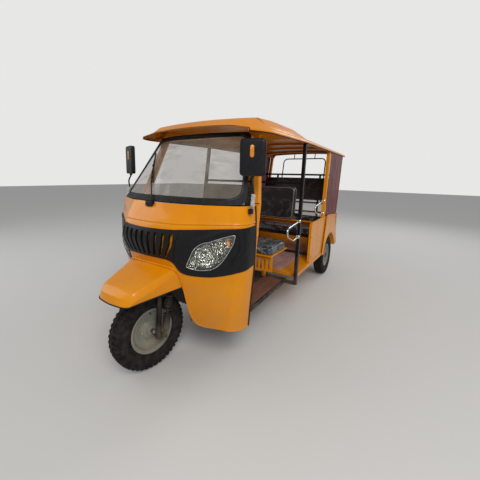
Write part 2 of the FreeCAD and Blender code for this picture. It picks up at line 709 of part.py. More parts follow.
# The rails step up behind the driver, over the rear axle.
rail_high = s.ride_floor_z - s.floor_thick * 2 - s.rail_size
rails = []
for side, sign in SIDES:
    x0 = s.rail_half - s.rail_size / 2 if sign > 0 else -s.rail_half - s.rail_size / 2
    rails.append(box("rail_" + side, (x0, x0 + s.rail_size), (Y(s.cab_rear_y + 10), Y(s.step_y + 60)),
                     (s.rail_z, s.rail_z + s.rail_size)))
    rails.append(box("rail_high_" + side, (x0, x0 + s.rail_size), (Y(s.step_y + 10), Y(s.guard_rear_y - 20)),
                     (rail_high, rail_high + s.rail_size)))
for name, station, z in (("front", s.cab_rear_y + 30, s.rail_z), ("step", s.step_y + 20, s.rail_z),
                         ("middle", s.mid_y, rail_high), ("rear", s.guard_rear_y - 80, rail_high)):
    rails.append(box("cross_" + name, (-s.rail_half, s.rail_half), (Y(station), Y(station) + s.rail_size),
                     (z + 5, z + s.rail_size - 5)))
engine_x = Size(190)
engine_y = (Y(s.bench_y + 52), Y(s.bench_y + 290))
engine_low = s.rail_z + 14
for side, sign in SIDES:
    near, far = engine_x + s.pin_gap, s.rail_half - s.rail_size / 2 + 5
    x = (near, far) if sign > 0 else (-far, -near)
    for end, y in (("front", engine_y[0] + 30), ("rear", engine_y[1] - 60)):
        rails.append(box("engine_bearer_%s_%s" % (side, end), x, (y, y + 30),
                         (engine_low + 4, engine_low + 24)))
node("chassis_frame", fuse("chassis_frame_solid", rails))

floor_half = s.half_width - 115
drive_floor = box("drive_floor_plate", (-floor_half, floor_half),
                  (Y(s.cab_rear_y) - 20, Y(s.step_y)), (s.drive_floor_z - s.floor_thick, s.drive_floor_z))
skirts = [drive_floor]
for side, sign in SIDES:
    x = (floor_half - 4, floor_half) if sign > 0 else (-floor_half, -floor_half + 4)
    skirts.append(box("drive_floor_skirt_" + side, x, (Y(s.cab_rear_y) - 20, Y(s.step_y)),
                      (s.drive_floor_z - 37, s.drive_floor_z)))
drive_floor = fuse("drive_floor_pressing", skirts)
engine_hole = box("engine_hole", (-engine_x - 6, engine_x + 6), (engine_y[0] - 6, engine_y[1] + 6),
                  (s.drive_floor_z - s.floor_thick - 5, s.drive_floor_z + 5))
node("driver_floor", cut("driver_floor_solid", drive_floor, engine_hole))
mat_z = (s.drive_floor_z, s.drive_floor_z + s.mat_thick)
mats = [box("mat_front", (-floor_half + 15, floor_half - 15),
            (Y(s.cab_rear_y) + 70, Y(s.bench_y) - 4), mat_z)]
for side, sign in SIDES:
    inner_x, outer_x = s.rail_half + 64, floor_half - 15
    x = (inner_x, outer_x) if sign > 0 else (-outer_x, -inner_x)
    mats.append(box("mat_" + side, x, (Y(s.bench_y) - 5, Y(s.bench_y + s.bench_depth) - 34), mat_z))
node("driver_mat", fuse("driver_mat_solid", mats))
ride_half = s.half_width - 4
ride_pan = box("ride_pan", (-ride_half, ride_half), (Y(s.step_y), Y(s.guard_y)),
               (s.ride_floor_z - s.floor_thick * 2, s.ride_floor_z))
aft_half = s.rear_track / 2 - s.tyre_width / 2 - 34
ride_aft = box("ride_aft", (-aft_half, aft_half), (Y(s.guard_y), Y(s.guard_rear_y) - 14.3),
               (s.ride_floor_z - s.floor_thick * 2, s.ride_floor_z))
node("passenger_floor", fuse("passenger_floor_solid", [ride_pan, ride_aft]))
node("passenger_mat", box("passenger_mat_sheet", (-aft_half + 10, aft_half - 10),
                          (Y(s.step_y) + 40, Y(s.aft_y) + 118),
                          (s.ride_floor_z, s.ride_floor_z + s.mat_thick)))

# Side posts with their feet, and the rails that carry the driver's backrest.

posts = []
post_x = s.half_width - 1
post_low = s.drive_floor_z - 27
post_high = s.roof_z - 22.6


def post_at(z):
    """The left side post's middle at a height, as its X and Y."""
    t = (float(z) - float(post_low)) / float(post_high - post_low)
    return float(post_x) - float(s.post_lean_in) * t, float(Y(s.post_y)) + float(s.post_top_y - s.post_y) * t


for side, sign in SIDES:
    x = float(post_x) * sign
    bar = square_bar((x, Y(s.post_y), post_low), (post_at(post_high)[0] * sign, Y(s.post_top_y), post_high),
                     s.post_size, s.post_size)
    above = Part.makeBox(2 * full + 60, 200, 40,
                         V(-full - 30, float(Y(s.post_top_y)) - 100, float(post_high)))
    posts.append(bar.cut(above))
    reach = float(post_x) - float(floor_half) - 0.2
    posts.append(Part.makeBox(reach, 30, 30, V(float(floor_half) + 0.2 if sign > 0 else -float(post_x),
                                               float(Y(s.post_y)) - 15, float(post_low) - 4)))
half_tube = float(s.rail_tube) / 2
back_front = post_at(s.back_low)[1] - half_tube
for z in (s.back_high + 22, s.back_low + 60):
    x, y = post_at(z)
    posts.append(Part.makeBox(2 * x, 2 * half_tube, 2 * half_tube,
                              V(-x, y - half_tube, float(z) - half_tube)))
first = posts[0].fuse(posts[1:]).removeSplitter()
node("side_posts", shape("side_posts_solid", first))

# Driver's bench.

seat_rear = Y(s.bench_y + s.bench_depth)
slat_low = s.drive_floor_z + 187
frame = []
bench_half = s.cushion_half - 5
bar = 30
under_pan = (s.bench_z - 14 - bar, s.bench_z - 14)
inset = 40
frame.append(box("bench_front", (-bench_half + inset, bench_half - inset),
                 (Y(s.bench_y) + 48, Y(s.bench_y) + 48 + bar), under_pan))
frame.append(box("bench_rear", (-bench_half + inset, bench_half - inset), (seat_rear - bar, seat_rear),
                 under_pan))
for name, x in (("a", -bench_half + inset), ("b", bench_half - inset - bar)):
    frame.append(box("bench_side_" + name, (x, x + bar), (Y(s.bench_y) + 48, seat_rear), under_pan))
for name, x in (("a", -s.rail_half - 60), ("b", s.rail_half + 60 - bar)):
    for end, y in (("front", Y(s.bench_y) + 48), ("rear", seat_rear - bar)):
        frame.append(box("bench_leg_%s_%s" % (end, name), (x, x + bar), (y, y + bar),
                         (s.drive_floor_z, s.bench_z - 20)))
apron_half = bench_half - 5
apron = box("bench_apron", (-apron_half, apron_half), (Y(s.bench_y) + 40, Y(s.bench_y) + 48.5),
            (slat_low, s.bench_z - 14))
gaps = []
count = 26
pitch = (2 * apron_half - 30) / count
for i in range(count):
    x = -apron_half + 15 + pitch * i + pitch * 0.25
    gaps.append(box("apron_slot_%d" % i, (x, x + pitch * 0.5), (Y(s.bench_y) + 30, Y(s.bench_y) + 60),
                    (slat_low + 20, s.bench_z - 44)))
slotted = cut("bench_apron_slotted", apron, fuse("apron_slots", gaps))
pan = box("bench_pan", (-bench_half, bench_half), (Y(s.bench_y) + 5, seat_rear),
          (s.bench_z - 14, s.bench_z - 4))
node("driver_bench", fuse("driver_bench_solid", frame + [slotted, pan]))


def cushion(name, half, y, z, radius, axis="x"):
    return node(name, shape(name + "_solid", round_box((-half, half), y, z, radius, axis)))


soft = s.seat_fit
cushion("driver_cushion", s.cushion_half, (Y(s.bench_y), seat_rear - soft),
        (s.bench_z - 4 + soft, s.bench_z + s.cushion_thick), 24)
back = round_box((-s.back_half, s.back_half), (Size(0), s.back_thick), (s.back_low, s.back_high), 40, "y")
back_obj = shape("driver_backrest_solid", back)
lean = math.degrees(math.atan2(float(s.post_top_y - s.post_y), float(post_high - post_low)))
hinge = V(0, back_front - float(s.back_thick) - 2.6, float(s.back_low))
back_obj.Placement = FreeCAD.Placement(hinge, FreeCAD.Rotation(V(1, 0, 0), -lean), V(0, 0, 0)).multiply(
    FreeCAD.Placement(V(0, 0, -float(s.back_low)), FreeCAD.Rotation()))
node("driver_backrest", back_obj)

# Middle bench.

mid_half = s.half_width - 64
mid_rear = Y(s.mid_y + s.mid_depth)
stand = [box("mid_pan", (-mid_half, mid_half), (Y(s.mid_y) + 10, mid_rear), (s.mid_z - 34, s.mid_z - 4))]
for side, sign in SIDES:
    x = mid_half - 60 if sign > 0 else -mid_half + 30
    for name, y in (("f", Y(s.mid_y) + 110), ("r", mid_rear - 40)):
        stand.append(box("mid_leg_%s_%s" % (side, name), (x, x + bar), (y, y + bar),
                         (s.ride_floor_z + s.mat_thick, s.mid_z - 10)))
stand.append(box("mid_foot_bar", (-mid_half + 30, mid_half - 30), (Y(s.mid_y) + 110, Y(s.mid_y) + 110 + bar),
                 (s.ride_floor_z + s.mat_thick, s.ride_floor_z + s.mat_thick + bar)))
node("middle_bench", fuse("middle_bench_solid", stand))
cushion("middle_cushion", mid_half, (Y(s.mid_y), mid_rear),
        (s.mid_z - 4 + soft, s.mid_z + s.cushion_thick), 24)

# Rear bench.

aft_rear = Y(s.aft_y + s.aft_depth)
aft_box = box("aft_box_out", (-aft_half + 12, aft_half - 12), (Y(s.aft_y) + 120, aft_rear),
              (s.ride_floor_z, s.aft_z - 24))
aft_hole = box("aft_box_in", (-aft_half + 16, aft_half - 16), (Y(s.aft_y) + 124, aft_rear + 10),
               (s.ride_floor_z - 1, s.aft_z - 26))
aft_pan = box("aft_pan", (-s.half_width + 60, s.half_width - 60), (Y(s.aft_y) + 12, aft_rear),
              (s.aft_z - 24, s.aft_z - 4))
node("rear_bench", fuse("rear_bench_solid", [cut("aft_box", aft_box, aft_hole), aft_pan]))
cushion("rear_cushion", s.half_width - 60, (Y(s.aft_y), aft_rear),
        (s.aft_z - 4 + soft, s.aft_z + s.cushion_thick), 24)
rear_back = round_box((-s.back_half + 22, s.back_half - 22), (Size(0), s.back_thick),
                      (s.aft_back_low, s.aft_back_high), 40, "y")
rear_obj = shape("rear_backrest_solid", rear_back)
rear_obj.Placement = FreeCAD.Placement(V(0, float(aft_rear) - 20, float(s.aft_back_low)),
                                       FreeCAD.Rotation(V(1, 0, 0), -10)).multiply(
    FreeCAD.Placement(V(0, 0, -float(s.aft_back_low)), FreeCAD.Rotation()))
node("rear_backrest", rear_obj)

# Two leaning uprights on the rear bench and a rail between the quarter panels carry the backrest.
lean_in = math.tan(math.radians(10))
rest = []
rest_y = float(aft_rear) - 20 + (float(s.back_thick) + 0.6 + half_tube) / math.cos(math.radians(10))
knee_z = float(s.aft_back_low)
foot_z = float(s.aft_z) - 24
for x in (-360, 360):
    rest.append(square_bar((x, float(aft_rear) + 15, foot_z), (x, rest_y, knee_z), s.rail_tube, s.rail_tube))
    rest.append(square_bar((x, rest_y - 2 * lean_in, knee_z - 2),
                           (x, rest_y + (1446 - knee_z) * lean_in, 1446), s.rail_tube, s.rail_tube))
    rest.append(Part.makeBox(40, 50, 12, V(x - 20, float(aft_rear) + 0.3, foot_z)))
rail_y = rest_y + (1446 - float(s.aft_back_low)) * lean_in
rail_reach = float(s.half_width) - 12 - 0.3 - float(s.skin)
rest.append(Part.makeBox(2 * rail_reach, 28, 28, V(-rail_reach, rail_y - 14, 1432)))
node("rear_back_rails", shape("rear_back_rails_solid", rest[0].fuse(rest[1:]).removeSplitter()))

# Side panels, mudguards, rear wall, pillars.

def rounded(points, thick, x):
    """A plate in the YZ plane whose corners may be rounded: (y, z, radius)."""
    pts = [V(0, float(y), float(z)) for y, z, r in points]
    edges = []
    count = len(pts)
    cuts = []
    for i in range(count):
        radius = float(points[i][2])
        a = (pts[i - 1] - pts[i]).normalize()
        b = (pts[(i + 1) % count] - pts[i]).normalize()
        if radius <= 0:
            cuts.append((pts[i], None, pts[i]))
            continue
        half = a.getAngle(b) / 2
        back = radius / math.tan(half)
        mid = pts[i] + (a + b).normalize() * (radius / math.sin(half) - radius)
        cuts.append((pts[i] + a * back, mid, pts[i] + b * back))
    for i in range(count):
        first, mid, last = cuts[i]
        if mid is not None:
            edges.append(Part.Arc(first, mid, last).toShape())
        edges.append(Part.makeLine(last, cuts[(i + 1) % count][0]))
    plate = Part.Face(Part.Wire(edges)).extrude(V(float(thick), 0, 0))
    plate.translate(V(float(x), 0, 0))
    return plate


guard_x = float(s.half_width) + 6
panel_y0 = float(Y(s.panel_y))
guard_y0 = float(Y(s.guard_y))
guard_y1 = float(Y(s.guard_rear_y))
rear_axle = float(Y(s.wheelbase))
arch = float(s.arch_radius)
floor_low = float(s.ride_floor_z - s.floor_thick * 2)
top = float(s.guard_top_z)
for side, sign in SIDES:
    x = float(s.half_width) - 12 - skin if sign > 0 else -float(s.half_width) + 12
    panel = rounded([(panel_y0 - 10, s.ride_floor_z, 0), (panel_y0 + 25, s.panel_top_z, s.panel_round),
                     (guard_y0 + 180, s.panel_top_z, 0), (guard_y0 + 40, s.ride_floor_z, 0)], skin, x)
    node("side_panel_" + side, shape("side_panel_solid_" + side, panel))
    x0 = guard_x - float(s.guard_thick) if sign > 0 else -guard_x
    guard = rounded([(guard_y0, floor_low, 0), (guard_y0 + 180, top, 30), (guard_y1 - 130, top - 40, 50),
                     (guard_y1, floor_low, 0)], s.guard_thick, x0)
    hole = Part.makeCylinder(arch, 400, V(x0 - 200, rear_axle, float(s.tyre_radius)), V(1, 0, 0))
    hole = hole.fuse(Part.makeBox(400, 2 * arch, 300,
                                  V(x0 - 200, rear_axle - arch, float(s.tyre_radius) - 300)))
    # inner wall, arch liner and the shelf that joins the panel to the bench
    width = guard_x - float(aft_half)
    xs = float(aft_half) if sign > 0 else -guard_x
    liner_out = Part.makeCylinder(arch + skin, width - 0.5, V(xs, rear_axle, float(s.tyre_radius)),
                                  V(1, 0, 0))
    liner_in = Part.makeCylinder(arch, width + 10, V(xs - 5, rear_axle, float(s.tyre_radius)), V(1, 0, 0))
    keep = Part.makeBox(width, 2 * arch + 40, 600, V(xs, rear_axle - arch - 20, floor_low))
    liner_shell = liner_out.cut(liner_in).common(keep)
    inner_x = float(aft_half) if sign > 0 else -float(aft_half) - skin
    shelf_z = float(s.aft_z) - 24.3
    wall = Part.makeBox(skin, guard_y1 - 14.3 - guard_y0 - 190, shelf_z - float(s.ride_floor_z),
                        V(inner_x, guard_y0 + 190, float(s.ride_floor_z)))
    shelf = Part.makeBox(width - 4, guard_y1 - 110 - guard_y0 - 190, skin,
                         V(xs + (0 if sign > 0 else 4), guard_y0 + 190, shelf_z - skin))
    body = guard.cut(hole).fuse([liner_shell, wall, shelf]).removeSplitter()
    node("rear_mudguard_" + side, shape("rear_mudguard_solid_" + side, body))


def lean_y(z, foot_y, foot_z, top_y, top_z):
    return foot_y + (top_y - foot_y) * (float(z) - foot_z) / (top_z - foot_z)


# Rear wall: a yellow panel up to the bench's back, corner pillars, a rail and the window hoop.
lean_foot = guard_y1 - 14
rear_top = lean_foot + float(s.tail_lean)
rear_foot_z = 880.0
top_z = float(s.roof_z) - 22.6
corner_x = float(s.half_width) - 12 - skin - 0.3 - float(s.pillar_size) / 2


def tail_y(z):
    return lean_y(z, lean_foot, rear_foot_z, rear_top, top_z)


panel_half = guard_x - float(s.guard_thick) - 0.5
panel = Part.makeBox(2 * panel_half, skin, 860 - floor_low, V(-panel_half, lean_foot, floor_low))
fold = Part.makeBox(2 * panel_half, 40, skin, V(-panel_half, lean_foot - 37, 857))
node("rear_panel", shape("rear_panel_solid", panel.fuse(fold).removeSplitter()))

rear_posts = []
size = float(s.pillar_size)
for side, sign in SIDES:
    x = corner_x * sign
    rear_posts.append(square_bar((x, float(Y(s.pillar_y)) + 60, float(s.panel_top_z) - 30),
                                 (x, float(Y(s.pillar_y)) + 187, top_z), size, size + 14))
    rear_posts.append(square_bar((x, tail_y(800), 862), (x, tail_y(top_z), top_z), size, size))
bars = []
for z in (990.0,):
    bars.append(Part.makeBox(2 * corner_x, 28, 28, V(-corner_x, tail_y(z) - 14, z - 14)))
above = Part.makeBox(2 * full, guard_y1 - guard_y0 + 600, 60, V(-full, guard_y0 - 100, top_z))
rear_posts = [post.cut(above) for post in rear_posts]
rear_frame = rear_posts[1].fuse([rear_posts[3]] + bars).removeSplitter()
rear_frame = rear_frame.cut(Part.makeBox(2 * full, 200, 60, V(-full, lean_foot - 100, 860.3 - 60)))
for (side, sign), post in zip(SIDES, rear_posts[::2]):
    node("pillar_mid_" + side, shape("pillar_mid_solid_" + side, post))
node("rear_frame", shape("rear_frame_solid", rear_frame))

for side, sign in SIDES:
    x = float(s.half_width) - 12 - skin if sign > 0 else -float(s.half_width) + 12
    quarter = rounded([(float(Y(s.pillar_y)) + 100, float(s.panel_top_z) + 0.3, 0),
                       (float(Y(s.pillar_y)) + 222, top_z, 0), (tail_y(top_z) - 30, top_z, 0),
                       (tail_y(880) - 30, 880, 0)], skin, x)
    node("quarter_panel_" + side, shape("quarter_panel_solid_" + side, quarter))

# Roof: a shallow moulded shell with a raised front and a down-turned eave.

roof = float(s.roof_z)
half = float(s.roof_half)
# Station, eave in from the widest and its height, shoulder in and its height, middle's height.
ROOF = [(s.roof_front_y, 92, -30, 164, -16, -4), (s.roof_front_y + 80, 40, -28, 154, 54, 70),
        (s.roof_front_y + 230, 6, -22, 139, 88, 104), (s.roof_front_y + 480, 0, -16, 134, 104, 116),
        (Size(1400), 0, -4, 129, 108, 124), (Size(1620), 0, 0, 74, 44, 62), (s.roof_rear_y, 0, 2, 74, 42, 58)]


def roof_wire(row, inset, drop):
    y, taper, eave, shoulder, sz, tz = [float(v) for v in row]
    y = float(Y(y))
    edge = half - taper - inset
    a = V(edge, y, roof + eave - 22 - drop * 6)
    b = V(edge, y, roof + eave - drop)
    c = V(half - shoulder - inset, y, roof + sz - drop)
    d = V(0, y, roof + tz - drop)

    def flip(p):
        return V(-p.x, p.y, p.z)

    return Part.Wire([
        Part.makeLine(flip(a), a), Part.makeLine(a, b), Part.makeLine(b, c),
        Part.Arc(c, d, flip(c)).toShape(), Part.makeLine(flip(c), flip(b)), Part.makeLine(flip(b), flip(a))])


roof_out = Part.makeLoft([roof_wire(row, 0, 0) for row in ROOF], True, True)
roof_in = Part.makeLoft([roof_wire(row, skin, skin) for row in ROOF], True, True)
roof_shell = roof_out.cut(roof_in)
node("roof_shell", shape("roof_shell_solid", roof_shell))

# Side rails under the eaves, and bows between them that follow the underside of the shell.
under = Part.makeLoft([roof_wire(row, skin + 0.3, skin + 0.3) for row in ROOF], True, True)
below = Part.makeLoft([roof_wire(row, skin + 22, skin + 22) for row in ROOF], True, True)
rail_in = post_at(post_high)[0] - 22
roof_rails = []
for sign in (1, -1):
    zone = Part.makeBox(30, float(s.roof_rear_y) - 700, 200,
                        V(rail_in if sign > 0 else -rail_in - 30, float(Y(640)), float(post_high) + 0.3))
    roof_rails.append(under.common(zone))
node("roof_rails", shape("roof_rails_solid", Part.makeCompound(roof_rails)))
bows = []
for y in (Y(668), Y(1396), rear_y - 700, rear_y - 200, rear_y + 300, rear_y + 634):
    zone = Part.makeBox(2 * rail_in - 0.4, 24, 400, V(-rail_in + 0.2, float(y) - 12, float(post_high) + 0.3))
    bows.append(under.cut(below).common(zone))
node("roof_bows", shape("roof_bows_solid", Part.makeCompound(bows)))

hoop_pts = []
hoop_top = 1718
for x, z in ((-365, 1004), (-365, hoop_top), (365, hoop_top), (365, 1004)):
    hoop_pts.append((x, tail_y(z), z))
window_hoop = tube(hoop_pts, 9, 70)
for x in (-180, 180):
    a = V(x, tail_y(hoop_top), hoop_top)
    b = V(x, tail_y(roof + 44), roof + 44)
    window_hoop = window_hoop.fuse(Part.makeCylinder(7, (b - a).Length, a, b - a))
window_hoop = window_hoop.cut(bows[-1]).cut(rear_frame)
window_hoop = Part.makeCompound(sorted(window_hoop.Solids, key=lambda part: -part.Volume)[:1])
node("rear_window_hoop", shape("rear_window_hoop_solid", window_hoop))

# Mirrors, handles, wiper, lamps.

for side, sign in SIDES:
    head = round_box((Size(-87), Size(87)), (Size(-17), Size(17)), (Size(1403), Size(1649)), 26, "y")
    head.Placement = FreeCAD.Placement(V((full - 8) * sign, float(Y(352)), 0),
                                       FreeCAD.Rotation(V(0, 0, 1), 20 * sign))
    arm_pts = [((full - 8) * sign, float(Y(352)), 1406), ((full + 6) * sign, float(Y(336)), 1336),
               ((full + 8) * sign, float(Y(346)), 1270), ((full + 11) * sign, float(Y(318)), 1176)]
    arm = tube(arm_pts, 7, 30).cut(cab_solid(0.3, 30))
    clamp = Part.makeBox(38, 44, 42, V(full - 20 if sign > 0 else -full - 18, float(Y(296)), 1152))
    clamp = clamp.cut(cab_solid(0.3, 30))
    node("mirror_" + side, shape("mirror_solid_" + side, head.fuse([arm, clamp]).removeSplitter()))

loops = []
for side, sign in SIDES:
    low_x, low_y = post_at(803)
    high_x, high_y = post_at(962)
    loop = tube([(low_x * sign, low_y, 803), (low_x * sign, low_y - 154, 792),
                 (low_x * sign, low_y - 305, 853), (high_x * sign, high_y - 330, 929),
                 (high_x * sign, high_y, 962)], 8, 40)
    loops.append(loop.cut(first))
    x = corner_x * sign
    y0 = float(Y(s.pillar_y)) + 76
    loop = tube([(x, y0, 932), (x, y0 - 213, 931), (x, y0 - 386, 984), (x, y0 - 400, 1052),
                 (x, y0 - 80, 1094), (x, y0 + 18, 1098)], 8, 40)
    loops.append(loop.cut(rear_posts[0 if sign > 0 else 2]))
kept = []
for loop in loops:
    kept.append(sorted(loop.Solids, key=lambda part: -part.Volume)[0])
node("grab_handles", shape("grab_handles_solid", Part.makeCompound(kept)))


def glass_y(x, z):
    """The windscreen's front face at a place across and up it."""
    t = (float(z) - float(GLASS[0][0])) / float(GLASS[1][0] - GLASS[0][0])
    row = [float(a) + (float(b) - float(a)) * t for a, b in zip(GLASS[0][1:], GLASS[1][1:])]
    mid, qx, qy, end_in, ey = row
    ex = full - end_in
    u = abs(float(x))
    along = mid * (u - qx) * (u - ex) / (qx * ex) + qy * u * (u - ex) / (qx * (qx - ex))
    return float(Y(0)) + along + ey * u * (u - qx) / (ex * (ex - qx))


pivot_spot = V(-54, float(Y(78)), 1188)
arm = tube([(-54, float(Y(78)), 1188), (-70, glass_y(-70, 1238) - 22, 1238),
            (-204, glass_y(-204, 1372) - 22, 1372), (-345, glass_y(-345, 1521) - 16, 1521)], 5, 20)
boss = Part.makeCylinder(12, 70, pivot_spot + V(0, -8, 0), V(0, 1, 0))
blade_points = [V(x, glass_y(x, z) - 13, z) for x, z in ((-166, 1344), (-288, 1465), (-411, 1587))]
blades = [square_bar(a, b, 8, 10) for a, b in zip(blade_points, blade_points[1:])]
wiper = arm.fuse([boss] + blades).cut(cab_out).removeSplitter()
node("wiper", shape("wiper_solid", sorted(wiper.Solids, key=lambda part: -part.Volume)[0]))

tails = []
for side, sign in SIDES:
    tails.append(round_box((Size(-45), Size(45)), (Size(0), Size(28)), (Size(-60), Size(60)), 10, "y"))
    tails[-1].translate(V((full - 120) * sign, lean_foot + skin, 760))
node("tail_lamps", shape("tail_lamps_solid", Part.makeCompound(tails)))

# Dashboard, steering head, engine, axle, springs.

dash = Part.makeBox(2 * full, 105, 90, V(-full, float(Y(120)), 1040))
node("dashboard", shape("dashboard_solid", dash.common(cab_solid(-skin - 0.3, 0))))

low = on_head(s.head_low)
high = on_head(s.head_high)
outer = Part.makeCylinder(float(s.stem_radius + s.pin_gap + s.head_wall), (high - low).Length, low, head_way)
bore = Part.makeCylinder(float(s.stem_radius) + float(s.pin_gap), 600, on_head(s.head_low - 100), head_way)
mid = on_head(790)
brace = []
for sign in (1, -1):
    brace.append(tube([(0, mid.y + 8, mid.z - 20), (190 * sign, mid.y + 105, mid.z - 60),
                       (float(s.rail_half) * sign, float(Y(s.cab_rear_y)) + 52,
                        float(s.drive_floor_z) - 8)], 16, 60))
head = outer.fuse(brace).cut(bore).removeSplitter()
head = head.cut(Part.makeBox(800, 300, 60,
                             V(-400, float(Y(s.cab_rear_y)) - 100, float(s.drive_floor_z) - 60)))
node("steering_head", shape("steering_head_solid", head))

node("engine", box("engine_block", (-engine_x, engine_x), engine_y, (engine_low, s.bench_z - 70)))

tube_x = s.rear_track / 2 - s.rim_half - 14
stub_x = s.rear_track / 2 + s.rim_half - 6
case_half = Size(46)
case_radius = Size(84)
node("rear_axle", lathe("rear_axle_body", [
    (-stub_x, Size(0)), (-stub_x, s.stub_radius), (-tube_x, s.stub_radius), (-tube_x, s.axle_tube),
    (-case_half * 2.4, s.axle_tube), (-case_half, case_radius), (case_half, case_radius),
    (case_half * 2.4, s.axle_tube), (tube_x, s.axle_tube), (tube_x, s.stub_radius), (stub_x, s.stub_radius),
    (stub_x, Size(0))], 0, Y(s.wheelbase), s.tyre_radius))

springs = []
for side, sign in SIDES:
    x = float(s.spring_half) * sign - float(s.spring_wide) / 2
    y = float(Y(s.wheelbase))
    z = float(s.tyre_radius) + float(s.axle_tube)
    leaves = [Part.makeBox(float(s.spring_wide), 2 * reach, 10, V(x, y - reach, z + 20.3 - 10 * i))
              for i, reach in enumerate((330, 240, 150))]
    for end in (-330, 300):
        leaves.append(Part.makeBox(float(s.spring_wide), 30, floor_low - z - 30.6, V(x, y + end, z + 30.3)))
    springs.append(leaves[0].fuse(leaves[1:]).removeSplitter())
node("leaf_springs", shape("leaf_springs_solid", Part.makeCompound(springs)))

# Check and write.

doc.recompute()
bad = [o.Label for o in doc.Objects if "Invalid" in o.State or "Error" in o.State]
for obj in nodes:
    if obj.Shape.isNull() or not obj.Shape.isValid() or not obj.Shape.Solids:
        bad.append(obj.Label)
if bad:
    raise RuntimeError("failed: " + ", ".join(bad))
os.makedirs("parts", exist_ok=True)
for obj in nodes:
    obj.Shape.exportStep("parts/%s.step" % obj.Label)
print(len(nodes), "parts")
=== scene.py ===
# %% [markdown]
# # A three-wheeled auto rickshaw, dressed for its portrait
#
# The plain solids of the rickshaw were drawn in CAD and packed with their joints. This lesson loads
# them as a fixed frame, in metres, and then dresses them: pressed sheet gets its soft edges, tyres get
# their lugs, seats get stuffed and wrapped, and every surface gets a painted, moulded or rubbed finish.
# Nothing here moves a CAD part. The cab faces -Y, +X is its left side, and the ground is z = 0.

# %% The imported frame
import bpy
import bmesh
import json
import math
import random
from mathutils import Matrix, Vector


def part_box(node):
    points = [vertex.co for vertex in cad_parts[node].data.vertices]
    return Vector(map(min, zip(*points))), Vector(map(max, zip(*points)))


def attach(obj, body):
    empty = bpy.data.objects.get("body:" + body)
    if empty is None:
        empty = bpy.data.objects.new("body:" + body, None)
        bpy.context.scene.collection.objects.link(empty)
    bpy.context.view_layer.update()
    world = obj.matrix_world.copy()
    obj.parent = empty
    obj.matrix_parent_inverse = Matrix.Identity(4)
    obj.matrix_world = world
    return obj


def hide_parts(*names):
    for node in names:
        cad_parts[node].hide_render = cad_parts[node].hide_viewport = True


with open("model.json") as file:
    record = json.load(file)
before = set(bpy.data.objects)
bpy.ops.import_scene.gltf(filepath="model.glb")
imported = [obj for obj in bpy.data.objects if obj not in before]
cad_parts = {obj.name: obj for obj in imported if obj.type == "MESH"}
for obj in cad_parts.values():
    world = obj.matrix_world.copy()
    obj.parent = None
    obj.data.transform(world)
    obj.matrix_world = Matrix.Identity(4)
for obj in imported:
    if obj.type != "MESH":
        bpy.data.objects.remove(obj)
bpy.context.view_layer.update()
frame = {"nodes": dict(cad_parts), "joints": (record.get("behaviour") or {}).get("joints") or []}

nodes = frame["nodes"]

# %% [markdown]
# The photograph was taken standing close to the left front corner with a wide lens, so the camera
# stands at eye height, turned by 31 degrees and tipped down by 8. The picture is a little low in its
# frame, which a small vertical shift copies. The image is square, so a 36 mm sensor and a 19.8 mm lens
# give the field of view.

# %% Camera
EYE = Vector((1.4893, -2.7807, 1.4045))
AZIMUTH, DIP, ROLL = 0.54864, 0.14152, 0.02083
PICTURE, FOCAL, DROP = 480, 264.01, -26.5
SENSOR = 36
forward = Vector((-math.sin(AZIMUTH) * math.cos(DIP), math.cos(AZIMUTH) * math.cos(DIP), -math.sin(DIP)))
level = Vector((math.cos(AZIMUTH), math.sin(AZIMUTH), 0))
raised = level.cross(forward)
right = level * math.cos(ROLL) + raised * math.sin(ROLL)
up = raised * math.cos(ROLL) - level * math.sin(ROLL)
bpy.ops.object.select_all(action="DESELECT")
bpy.ops.object.camera_add(location=EYE)
camera = bpy.context.object
camera.name = "camera"
camera.matrix_world = Matrix((right, up, -forward)).transposed().to_4x4()
camera.location = EYE
camera.data.sensor_width = SENSOR
camera.data.lens = FOCAL / PICTURE * SENSOR
camera.data.shift_y = DROP / PICTURE
bpy.context.scene.camera = camera
print("camera at", [round(v, 3) for v in camera.location], "lens", round(camera.data.lens, 2), "mm")

# %% [markdown]
# The stage is a plain pale floor that only has to catch the shadow. A large soft lamp high on the
# camera's side and a weaker one on the other side model the body, and the world fills in the rest.
# Through the Light Path node the world shows a plain pale background to the camera and behind the
# glass, while it lights the object at a lower level.

# %% Stage and lamps
scene = bpy.context.scene
scene.view_settings.view_transform = "Standard"
bpy.ops.object.select_all(action="DESELECT")
bpy.ops.mesh.primitive_plane_add(size=60, location=(0, 0, -0.0005))
floor = bpy.context.object
floor.name = "floor"
floor_finish = bpy.data.materials.new("pale_floor")
floor_finish.use_nodes = True
shader = floor_finish.node_tree.nodes["Principled BSDF"]
shader.inputs["Base Color"].default_value = (0.62, 0.61, 0.59, 1)
shader.inputs["Roughness"].default_value = 0.85
floor.data.materials.append(floor_finish)

world = bpy.data.worlds.new("studio")
scene.world = world
world.use_nodes = True
tree = world.node_tree
sky = tree.nodes["Background"]
sky.inputs["Color"].default_value = (0.96, 0.98, 1.0, 1)
sky.inputs["Strength"].default_value = 0.46
seen = tree.nodes.new("ShaderNodeBackground")
seen.inputs["Color"].default_value = (0.80, 0.80, 0.79, 1)
seen.inputs["Strength"].default_value = 1.0
path = tree.nodes.new("ShaderNodeLightPath")
either = tree.nodes.new("ShaderNodeMath")
either.operation = "MAXIMUM"
choose = tree.nodes.new("ShaderNodeMixShader")
for source, sink in ((path.outputs["Is Camera Ray"], either.inputs[0]),
                     (path.outputs["Is Transmission Ray"], either.inputs[1]),
                     (either.outputs[0], choose.inputs[0]), (sky.outputs[0], choose.inputs[1]),
                     (seen.outputs[0], choose.inputs[2]),
                     (choose.outputs[0], tree.nodes["World Output"].inputs["Surface"])):
    tree.links.new(source, sink)


